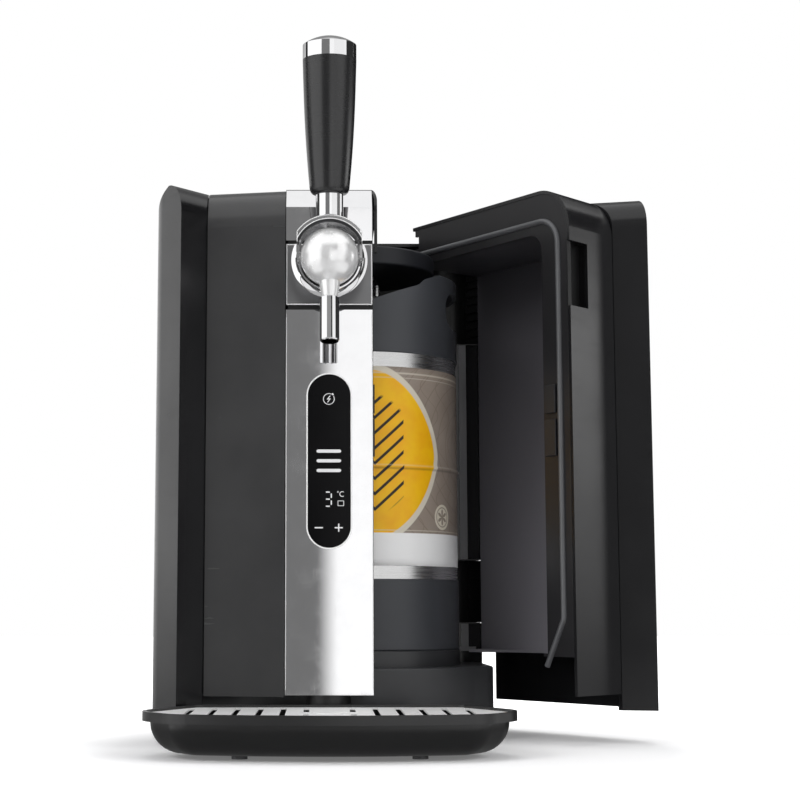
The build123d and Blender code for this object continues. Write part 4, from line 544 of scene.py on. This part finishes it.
def printed_label():
    """The keg's wrap: taupe with faint scrolls, and a yellow lozenge with a cream edge and chevron rows.

    A roundel stands beside it and a white strip runs below, and at the can's rib there is a painted shade line
    under it and a painted highlight line over it. The wrap's own map gives u and v."""
    made, kit, shader = material("printed_label")
    u, v, _ = kit.split(kit.add("ShaderNodeUVMap", uv_map="wrap").outputs[0])
    place = kit.place()

    def away(value, centre):
        return kit.math("ABSOLUTE", kit.math("SUBTRACT", value, centre))

    def band(value, centre, half, soft=0.0003):
        return kit.spread(away(value, centre), half - soft, half + soft, 1.0, 0.0)

    def ring_distance(middle):
        sides = [kit.math("SUBTRACT", value, centre) for value, centre in zip((u, v), middle)]
        squares = [kit.math("MULTIPLY", side, side) for side in sides]
        return kit.math("SQRT", kit.math("ADD", *squares))

    def lozenge(middle, half):
        sides = [
            kit.math("POWER", kit.math("DIVIDE", away(value, centre), reach), 1.6)
            for value, centre, reach in zip((u, v), middle, half)
        ]
        return kit.math("ADD", *sides)

    taupe = (0.345, 0.290, 0.245, 1.0)
    brown = (0.160, 0.112, 0.080, 1.0)
    yellow = (1.0, 0.56, 0.003, 1.0)
    amber = (0.95, 0.43, 0.006, 1.0)
    cream = (0.72, 0.66, 0.55, 1.0)
    ink = (0.022, 0.018, 0.016, 1.0)
    white = (0.95, 0.95, 0.95, 1.0)

    cloud = kit.noise(place, 22.0, detail=4.0)
    tone = kit.mix(kit.spread(cloud, 0.3, 0.7, 0.0, 0.35), taupe, brown)
    warp = kit.math("MULTIPLY", kit.math("SINE", kit.math("MULTIPLY", v, 130.0)), 0.011)
    stem = kit.math("SUBTRACT", kit.math("PINGPONG", kit.math("ADD", u, warp), 0.019), 0.0095)
    curl = kit.math("PINGPONG", ring_distance(CURLS), 0.0125)
    scrolls = kit.math("MAXIMUM", band(curl, 0.0062, 0.0004), band(stem, 0.0, 0.0004))
    tone = kit.mix(kit.math("MULTIPLY", scrolls, 0.45), tone, brown)

    field = lozenge(LOZENGE, LOZENGE_HALF)
    tone = kit.mix(kit.spread(field, 1.12, 1.14, 1.0, 0.0), tone, cream)
    glaze = kit.mix(kit.spread(kit.noise(place, 60.0, detail=3.0), 0.35, 0.7, 0.0, 0.8), yellow, amber)
    tone = kit.mix(kit.spread(field, 0.985, 1.005, 1.0, 0.0), tone, glaze)

    slope = kit.math("MULTIPLY", away(u, LOZENGE[0]), 0.9)
    row = kit.math("PINGPONG", kit.math("SUBTRACT", v, slope), 0.0065)
    chevrons = kit.math("MULTIPLY", band(row, 0.0, 0.0016), band(u, LOZENGE[0], 0.026))
    chevrons = kit.math("MULTIPLY", chevrons, kit.spread(field, 0.55, 0.6, 1.0, 0.0))
    tone = kit.mix(chevrons, tone, ink)

    medal = ring_distance(ROUNDEL)
    tone = kit.mix(kit.spread(medal, 0.0108, 0.0112, 1.0, 0.0), tone, cream)
    tone = kit.mix(kit.math("MULTIPLY", band(medal, 0.0083, 0.0004), 0.8), tone, brown)
    bearing = kit.math(
        "ARCTAN2", kit.math("SUBTRACT", v, ROUNDEL[1]), kit.math("SUBTRACT", u, ROUNDEL[0])
    )
    petals = kit.math("ABSOLUTE", kit.math("SINE", kit.math("MULTIPLY", 3.0, bearing)))
    leaf = kit.spread(kit.math("DIVIDE", medal, kit.math("ADD", petals, 0.12)), 0.0060, 0.0064, 1.0, 0.0)
    tone = kit.mix(kit.math("MULTIPLY", leaf, 0.75), tone, brown)

    tone = kit.mix(kit.spread(v, *STRIP_TOP, 1.0, 0.0), tone, white)
    for height, half in CREAM_LINES:
        tone = kit.mix(kit.math("MULTIPLY", band(v, height, half), 0.6), tone, cream)
    # Painted shade under the can's rib and a painted highlight over it
    tone = kit.mix(kit.math("MULTIPLY", band(v, RIB_PAINTED_SHADE, 0.0006, 0.0009), 0.5), tone, ink)
    tone = kit.mix(kit.math("MULTIPLY", band(v, RIB_PAINTED_HIGHLIGHT, 0.0004, 0.0007), 0.35), tone, cream)

    kit.join(tone, shader.inputs["Base Color"])
    shader.inputs["Specular IOR Level"].default_value = 0.3
    kit.join(kit.spread(cloud, 0.3, 0.7, 0.30, 0.40), shader.inputs["Roughness"])
    kit.join(kit.bump(kit.noise(place, 1400.0), 0.1, FINE_BUMP), shader.inputs["Normal"])
    return made


wrap_print_and_rib_shading = printed_label()
sign_white = glowing("sign_white", (0.50, 0.50, 0.51), 0.60)


# ---------------------------------------------------------------- pieces


# The handle grip's rows: height up the stem and radius, in millimetres
GRIP_FOOT = [(50.5, 0), (50.5, 12.2), (51.1, 13.8), (52.4, 15.1)]
GRIP_SIDE = [(54.5, 16.0), (62, 16.8), (76.7, 17.9), (95, 19.3), (111.7, 20.2), (135, 21.1), (155.8, 21.7)]
GRIP_SIDE += [(160.6, 21.85)]


def handle_grip():
    """A waisted barrel round the leaning stem: its radius follows a smooth curve through the side's rows."""
    foot, side = np.array(GRIP_FOOT), np.array(GRIP_SIDE)
    height = np.linspace(side[0, 0], side[-1, 0], 40)
    curve = np.polynomial.polynomial.polyfit(side[:, 0], side[:, 1], 4)
    radius = np.polynomial.polynomial.polyval(height, curve)
    top = np.array([(0, side[-1, 0])])
    profile = np.vstack([foot[:, ::-1], np.column_stack([radius, height]), top]) * MM
    axis = (0, -math.sin(STEM_LEAN), math.cos(STEM_LEAN))
    barrel = turned(profile, BALL, axis, (1, 0, 0), steps=128)
    grip = build("handle_barrel", [barrel], grip_black, "tap_lever")
    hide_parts("handle_grip")


handle_grip()

# The can's stiffening rib, which lifts the wrap where it runs under it
RIB_Z = 232 * MM
RIB_RISE = 1.2 * MM
RIB_WIDTH = 2.0 * MM
WRAP_WALL = 0.3 * MM


def keg_wrap():
    """Radius = the label's + rise * exp(-((z - rib) / width)^2), swept once round the keg's axis."""
    height = np.concatenate(
        [
            np.linspace(LABEL_BOX[0][2], RIB_Z - 8 * MM, 12),
            np.linspace(RIB_Z - 7.5 * MM, RIB_Z + 7.5 * MM, 24),
            np.linspace(RIB_Z + 8 * MM, LABEL_BOX[1][2], 12),
        ]
    )
    radius = LABEL_R + RIB_RISE * np.exp(-(((height - RIB_Z) / RIB_WIDTH) ** 2))
    angle = np.linspace(0, TURN, 181)
    grid = np.empty((len(angle), len(height), 3))
    grid[..., 0] = KEG[0] + radius * np.sin(angle)[:, None]
    grid[..., 1] = KEG[1] + radius * np.cos(angle)[:, None]
    grid[..., 2] = height
    way = (angle - math.pi) * -LABEL_R
    uv = np.stack(np.broadcast_arrays(way[:, None], height[None, :]), axis=-1).reshape(-1, 2)
    points, faces = skin(grid)
    skins = [(points, faces[:, ::-1])]
    wrap = build("keg_wrap", skins, wrap_print_and_rib_shading, "cabinet", outward=False, uv=uv)
    wall = wrap.modifiers.new("thickness", "SOLIDIFY")
    wall.thickness = WRAP_WALL
    wall.offset = -1.0
    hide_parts("keg_label")


keg_wrap()

# The shut door's seal, in millimetres: Y and Z of its corners, their bends, and X of its face and its crest
SEAL_CORNERS = [(54, 440), (-137.5, 440), (-137.5, 103), (-116.6, 64)]
SEAL_BENDS = (22, 8)
SEAL_FACE = 41.5
SEAL_CREST = 38.75
SEAL_HALF = 2.5


def door_seal():
    """A flattened round bead with a foot, carried along the mouth's line in the door's plane."""
    line = rounded_path(SEAL_CORNERS, SEAL_BENDS, steps=16)
    path = np.column_stack([np.full(len(line), SEAL_FACE), line]) * MM
    along = unit(np.gradient(path, axis=0))
    up = np.broadcast_to(np.array([-1.0, 0.0, 0.0]), path.shape)
    across = np.cross(along, up)
    angle = np.linspace(0, math.pi, 13)
    rise = (SEAL_FACE - SEAL_CREST) * np.sin(angle) ** 0.8
    bead = np.column_stack([SEAL_HALF * np.cos(angle), rise])
    section = np.vstack([bead, [[-SEAL_HALF, 0.0], [SEAL_HALF, 0.0]]]) * MM
    points, faces = swept(path, across, up, section)
    count = len(section)
    skins = [(points, faces), cap(points[:count]), cap(points[-count:])]
    skins = [(swung(part), quads) for part, quads in skins]
    seal = build("door_seal", skins, seal_grey, "door")
    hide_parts("door_gasket")


door_seal()


def ribbon(points, width, face, rise=0.12 * MM, closed=False):
    """A low domed stroke along an (x, z) line on a face that looks along -Y, with rounded ends."""
    line = np.array(points, float)
    share = (1 - np.cos(np.linspace(0, math.pi, 13)))[:-1, None] / 2
    steps = [a + (b - a) * share for a, b in zip(line, line[1:])]
    if closed:
        steps.append(line[-1] + (line[0] - line[-1]) * share)
        line = np.vstack(steps)
        along = unit(np.roll(line, -1, axis=0) - np.roll(line, 1, axis=0))
        taper = np.ones(len(line))
    else:
        line = np.vstack([*steps, line[-1:]])
        along = unit(np.gradient(line, axis=0))
        reach = np.concatenate([[0], np.cumsum(np.linalg.norm(np.diff(line, axis=0), axis=1))])
        end = np.minimum(reach, reach[-1] - reach)
        radius = width / 2
        taper = np.sqrt(np.clip(1 - np.clip(1 - end / radius, 0, 1) ** 2, 0.0004, 1))
    side = np.column_stack([-along[:, 1], along[:, 0]])
    across = np.linspace(-1, 1, 7)
    grid = np.empty((len(line), len(across), 3))
    grid[..., 0] = line[:, :1] + side[:, :1] * across * width / 2 * taper[:, None]
    grid[..., 2] = line[:, 1:] + side[:, 1:] * across * width / 2 * taper[:, None]
    grid[..., 1] = face - rise * np.sqrt(1 - across**2 * 0.999) * taper[:, None]
    back = grid.copy()
    back[..., 1] = face
    both = np.concatenate([grid, back[:, ::-1]], axis=1)
    return skin(both, rows_closed=closed, columns_closed=True)


def arc(middle, radius, first, last, steps=25):
    """Points (x, z) on part of a circle, from one angle in degrees to another."""
    angle = np.radians(np.linspace(first, last, steps))
    return np.column_stack([middle[0] + radius * np.cos(angle), middle[1] + radius * np.sin(angle)])


def display_signs():
    """Power sign, level bars, a seven-segment 3, degrees C, a mode box, and the minus and plus keys."""

    def sign(points, width, closed=False):
        return ribbon(np.array(points) * MM, width * MM, DISPLAY_FACE, closed=closed)

    signs = [
        sign(arc((-0.3, 283.5), 4.5, 60, 392, 49), 0.6),
        sign([(0.9, 286.3), (-1.6, 283.3), (0.9, 283.7), (-1.5, 280.6)], 0.7),
        sign([(2.3, 288.3), (3.6, 286.6)], 1.3),
    ]
    signs += [sign([(-10.5, height), (9.9, height)], 2.7) for height in (240.2, 232.2, 224.2)]
    signs += [sign([(-2.8, height), (0.6, height)], 1.05) for height in (206.4, 200.6, 194.8)]
    signs += [sign([(1.7, height), (1.7, height - 3.8)], 1.05) for height in (205.4, 199.6)]
    signs += [
        sign(arc((7.2, 206.6), 0.55, 0, 330, 13), 0.35),
        sign(arc((10.7, 204.8), 2.0, 50, 310, 21), 0.6),
        sign([(7.2, 199.2), (11.9, 199.2), (11.9, 195.2), (7.2, 195.2)], 0.5, closed=True),
        sign([(-12.0, 177.2), (-5.0, 177.2)], 1.1),
        sign([(4.4, 177.2), (11.2, 177.2)], 1.1),
        sign([(7.8, 173.8), (7.8, 180.6)], 1.1),
    ]
    build("display_signs", signs, sign_white, "cabinet")


display_signs()


def plate_edges():
    """Painted highlights along the edges of the column's plates: low domed strokes in a bright finish, just inside
    their outlines.
    """
    inset = 0.55 * MM
    side_inset = 0.4 * MM
    end_gap = 1 * MM
    (left, face, low), (right, _, top) = TAP_PLATE
    outline = [(left + inset, low + inset), (right - inset, low + inset)]
    outline += [(right - inset, top - inset), (left + inset, top - inset)]
    edges = [ribbon(outline, 0.9 * MM, face, rise=0.25 * MM, closed=True)]
    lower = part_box("column_lower_plate")
    for side in (lower[0].x + side_inset, lower[1].x - side_inset):
        edges.append(ribbon([(side, lower[0].z + end_gap), (side, lower[1].z - end_gap)], 0.8 * MM, face))
    build("plate_edges", edges, edge_bright, "cabinet")


plate_edges()


def hood_edges():
    """Painted highlights along the hood's rims and a band of painted shade inside them: arcs about the ball's
    centre.
    """
    middle = (BALL[0], BALL[2])
    outer = YOKE[1][2] - BALL[2]
    half = YOKE[1][0] - 0.4 * MM
    front = YOKE[0][1]
    rim = outer - 0.4 * MM
    wide = 0.7 * MM
    rise = 0.25 * MM
    lines = []
    for radius in (rim, outer - 3.2 * MM):
        swing = math.degrees(math.asin(half / radius))
        lines.append(ribbon(arc(middle, radius, 90 - swing, 90 + swing, 49), wide, front, rise=rise))
    shoulder = math.sqrt(rim**2 - half**2)
    for side in (-half, half):
        foot = [(side, middle[1] + 10 * MM), (side, middle[1] + shoulder)]
        lines.append(ribbon(foot, wide, front, rise=rise))
    build("hood_edges", lines, edge_bright, "tap_lever")
    # A dark band that stands in for the shade in the hood's recess: painted shade
    shade_band_radius = outer - 4.7 * MM
    swing = math.degrees(math.asin(half / shade_band_radius)) - 3
    dark = ribbon(arc(middle, shade_band_radius, 90 - swing, 90 + swing, 49), 2.2 * MM, front, rise=0.15 * MM)
    build("hood_groove", [dark], zinc_black, "tap_lever")


hood_edges()

# The jamb's seals, in millimetres: radius about the hinge line, and each strip's foot, top, left and right
JAMB_R = 41.45
JAMB_WALL = 0.45
JAMB_STRIPS = ((158, 362, 124.6, 131.8), (73, 98, 124.6, 131.8), (72.6, 76.6, 121.5, 139.0))


def jamb_seal():
    """Pale flat seals up the jamb: strips of a cylinder about the hinge line, the last one a flared foot."""
    skins = []
    for foot, top, left, right in JAMB_STRIPS:
        across = np.linspace(left, right, 25) * MM
        y = HINGE[1] - np.sqrt((JAMB_R * MM) ** 2 - (across - HINGE[0]) ** 2)
        up = np.linspace(foot, top, 5) * MM
        front = np.stack(np.broadcast_arrays(across[:, None], y[:, None], up[None, :]), axis=-1)
        inner = front.copy()
        inner[..., 1] += JAMB_WALL * MM
        rings = np.concatenate([front, inner[:, ::-1]], axis=1)
        skins += [skin(rings, columns_closed=True), cap(rings[0]), cap(rings[-1])]
    build("jamb_seal", skins, jamb_grey, "cabinet")


jamb_seal()


def slot_felts():
    """Black plates in the rear housing's slots above and below each hinge arm, which keep the slots dark as
    painted shade: thin flat plates.
    """
    gap = 0.05 * MM
    thick = 0.7 * MM
    x = np.array([106, 143]) * MM
    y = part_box("rear_housing")[0].y + np.array([0.5, 8]) * MM
    strips = []
    for arm in ("hinge_arm_lower", "hinge_arm_upper"):
        low, high = (corner.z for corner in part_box(arm))
        for under, over in ((low - gap - thick, low - gap), (high + gap, high + gap + thick)):
            top = np.stack([*np.meshgrid(x, y, indexing="ij"), np.full((2, 2), over)], axis=-1)
            bottom = top.copy()
            bottom[..., 2] = under
            rim, base = (plate[[0, 1, 1, 0], [0, 0, 1, 1]] for plate in (top, bottom))
            strips += [skin(top), skin(bottom), skin(np.stack([rim, base]), columns_closed=True)]
    build("slot_felts", strips, plastic_black, "cabinet", flat_angle=30)


slot_felts()


# ---------------------------------------------------------------- studio and camera


STUDIO_R = 3.2
AIM = (0.03, -0.05, 0.25)

# Where the floor's painted shadow lies, how far from its middle it starts to fade and where it has gone
PAINTED_SHADOW_MIDDLE = (0.05, -0.17, 0.0)
PAINTED_SHADOW_CORE = 0.22
PAINTED_SHADOW_END = 0.40


def world_light():
    """White to the camera, plain light on matt surfaces.

    Glossy rays see a studio that darkens below the table's line, and high up behind the object."""
    world = bpy.data.worlds.new("studio")
    bpy.context.scene.world = world
    world.use_nodes = True
    kit = Nodes(world.node_tree)
    kit.tree.nodes.clear()
    _, ahead, high = kit.split(kit.add("ShaderNodeTexCoord").outputs["Generated"])
    path = kit.add("ShaderNodeLightPath")
    seen = kit.add("ShaderNodeBackground")
    seen.inputs["Color"].default_value = (1, 1, 1, 1)
    behind = kit.math(
        "MULTIPLY", kit.spread(ahead, 0.45, 0.60, 0.0, 0.72), kit.spread(high, 0.24, 0.34, 0.0, 1.0)
    )
    below = kit.spread(high, -0.09, 0.02, 0.16, 1.0)
    studio = kit.math("MULTIPLY", below, kit.math("SUBTRACT", 1.0, behind))
    mirror = kit.math("MAXIMUM", path.outputs["Is Glossy Ray"], path.outputs["Is Transmission Ray"])
    plain = kit.math("MULTIPLY", kit.math("SUBTRACT", 1.0, mirror), 0.55)
    strength = kit.math("ADD", kit.math("MULTIPLY", mirror, studio), plain)
    viewed = path.outputs["Is Camera Ray"]
    strength = kit.math("ADD", viewed, kit.math("MULTIPLY", kit.math("SUBTRACT", 1.0, viewed), strength))
    kit.join(strength, seen.inputs["Strength"])
    out = kit.add("ShaderNodeOutputWorld")
    kit.join(seen.outputs[0], out.inputs["Surface"])


def stage_mesh(name, points, faces, made):
    """A studio sheet with its own material."""
    mesh = bpy.data.meshes.new(name)
    mesh.from_pydata(points.tolist(), [], faces.tolist())
    mesh.materials.append(made)
    sheet = bpy.data.objects.new(name, mesh)
    bpy.context.scene.collection.objects.link(sheet)
    return sheet


def floor_sheet():
    """A wide table top: one flat skin, pale, lifted to white for the camera far from the object. Near it the lift
    is small, a painted shadow around the real one.
    """
    side = np.linspace(-6, 6, 3)
    grid = np.stack([*np.meshgrid(side, side, indexing="ij"), np.full((3, 3), -0.0002)], axis=-1)
    made, kit, shader = material("studio_floor")
    shader.inputs["Base Color"].default_value = (0.86, 0.86, 0.87, 1)
    shader.inputs["Roughness"].default_value = 0.9
    shader.inputs["Specular IOR Level"].default_value = 0.0
    shader.inputs["Emission Color"].default_value = (1, 1, 1, 1)
    away = kit.add("ShaderNodeVectorMath", operation="DISTANCE")
    kit.join(kit.place(), away.inputs[0])
    kit.join(PAINTED_SHADOW_MIDDLE, away.inputs[1])
    # Less lift near the object: painted shadow, with the floor's real shadow showing through it
    lift = kit.spread(away.outputs["Value"], PAINTED_SHADOW_CORE, PAINTED_SHADOW_END, 0.15, 1.0)
    viewed = kit.add("ShaderNodeLightPath").outputs["Is Camera Ray"]
    kit.join(kit.math("MULTIPLY", viewed, lift), shader.inputs["Emission Strength"])
    floor = stage_mesh("studio_floor", *skin(grid), made)
    floor.visible_glossy = False


def stage_card(name, points, faces, light):
    """A glowing sheet that only reflections see. The light call gives its strength."""
    made, kit, _ = material(name)
    kit.tree.nodes.clear()
    glow = kit.add("ShaderNodeEmission")
    kit.join(light(kit), glow.inputs["Strength"])
    out = kit.add("ShaderNodeOutputMaterial")
    kit.join(glow.outputs[0], out.inputs["Surface"])
    sheet = stage_mesh(name, points, faces, made)
    sheet.visible_camera = False
    sheet.visible_diffuse = False
    sheet.visible_shadow = False
    sheet.visible_transmission = False


def card(name, azimuths, heights, values, edge=None, radius=STUDIO_R):
    """A curved studio card that only reflections see: an arc of a cylinder about the object.

    Azimuth is in degrees, 0 in front and 90 to the right. Its light runs from one value to another with
    height. An edge gives two places on X and a second pair of values: past the edge the light has those."""
    turn = np.radians(np.linspace(*azimuths, 25))
    height = np.linspace(*heights, 5)
    grid = np.empty((len(turn), len(height), 3))
    grid[..., 0] = (radius * np.sin(turn))[:, None]
    grid[..., 1] = (-radius * np.cos(turn))[:, None]
    grid[..., 2] = height
    points, faces = skin(grid)

    def light(kit):
        x, _, z = kit.split(kit.place())
        strength = kit.spread(z, *heights, *values)
        if edge is None:
            return strength
        start, end, *past = edge
        blend = kit.add("ShaderNodeMix", data_type="FLOAT")
        kit.join(kit.spread(x, start, end, 0.0, 1.0), blend.inputs[0])
        kit.join(strength, blend.inputs[2])
        kit.join(kit.spread(z, *heights, *past), blend.inputs[3])
        return blend.outputs[0]

    stage_card(name, points, faces, light)


def floor_card():
    """The lit table top in front, for reflections alone: a ring sector that starts past the shadow."""
    way = np.radians(np.linspace(-80, 80, 33))
    reach = np.linspace(0.36, 1.0, 5)
    grid = np.empty((len(way), len(reach), 3))
    grid[..., 0] = reach * np.sin(way)[:, None]
    grid[..., 1] = -reach * np.cos(way)[:, None]
    grid[..., 2] = 0.0002
    points, faces = skin(grid)

    def light(kit):
        x, y, _ = kit.split(kit.place())
        slope = kit.math("DIVIDE", x, kit.math("MULTIPLY", y, -1.0))
        left = kit.spread(slope, -0.62, -0.52, 0.9, 0.45)
        return kit.math("ADD", left, kit.spread(slope, 0.0, 0.7, 0.0, 0.45))

    stage_card("card_floor", points, faces, light)


def lamp(name, place, size, power):
    """A soft square lamp aimed at the middle of the object."""
    data = bpy.data.lights.new(name, "AREA")
    data.shape = "SQUARE"
    data.size = size
    data.energy = power
    made = bpy.data.objects.new(name, data)
    bpy.context.scene.collection.objects.link(made)
    made.location = place
    made.rotation_mode = "QUATERNION"
    made.rotation_quaternion = Vector(np.array(AIM) - np.array(place)).to_track_quat("-Z", "Y")
    made.visible_glossy = False


world_light()
floor_sheet()
card("card_ahead", (-32, 17), (-0.9, 1.2), (0.17, 0.20), edge=(-0.012, 0.038, 1.30, 1.05))
card("card_ahead_high", (-32, 17), (1.201, 3.0), (0.30, 0.30))
card("card_ahead_top", (-100, 100), (3.2, 8.0), (1.1, 1.1))
card("card_left", (-103, -32.5), (-0.8, 3.0), (1.35, 1.1))
card("card_liner", (-110, -88), (-0.3, 1.2), (0.45, 0.0), radius=3.1)
card("card_left_line", (-120, -103.5), (-0.5, 3.0), (0.02, 0.02))
card("card_right", (17.5, 62), (-0.8, 1.3), (0.95, 0.95))
card("card_right_line", (17.5, 33), (1.301, 3.0), (0.03, 0.03))
card("card_right_gap", (62.5, 93), (-0.5, 1.2), (0.0, 0.20))
card("card_right_high", (72, 118), (1.201, 3.0), (0.03, 0.03))
card("card_door", (93.5, 118), (-0.25, 0.95), (0.02, 2.4))
card("card_right_dark", (118.5, 172), (-0.6, 2.6), (0.01, 0.02))
floor_card()
lamp("lamp_left", (-1.9, -1.6, 1.9), 1.4, 24)
lamp("lamp_right", (2.1, -1.2, 1.7), 1.4, 18)
lamp("lamp_top", (0.1, 0.2, 2.4), 1.6, 20)

# The viewer stands in front, a little below the tap, looking slightly up
EYE = (-7.64 * MM, -1528.8 * MM, 108.6 * MM)
PITCH = math.radians(7.19)
YAW = math.radians(-0.26)
SENSOR = 36.0
FOCAL = 75.6
SHIFT = (0.0906, 0.0002)
camera_data = bpy.data.cameras.new("viewer")
camera_data.sensor_width = SENSOR
camera_data.lens = FOCAL
camera_data.shift_x, camera_data.shift_y = SHIFT
camera_data.clip_start = 0.05
camera_data.clip_end = 50
camera = bpy.data.objects.new("viewer", camera_data)
bpy.context.scene.collection.objects.link(camera)
camera.location = EYE
camera.rotation_euler = (math.pi / 2 + PITCH, 0, YAW)
bpy.context.scene.camera = camera

bpy.context.scene.view_settings.view_transform = "Standard"
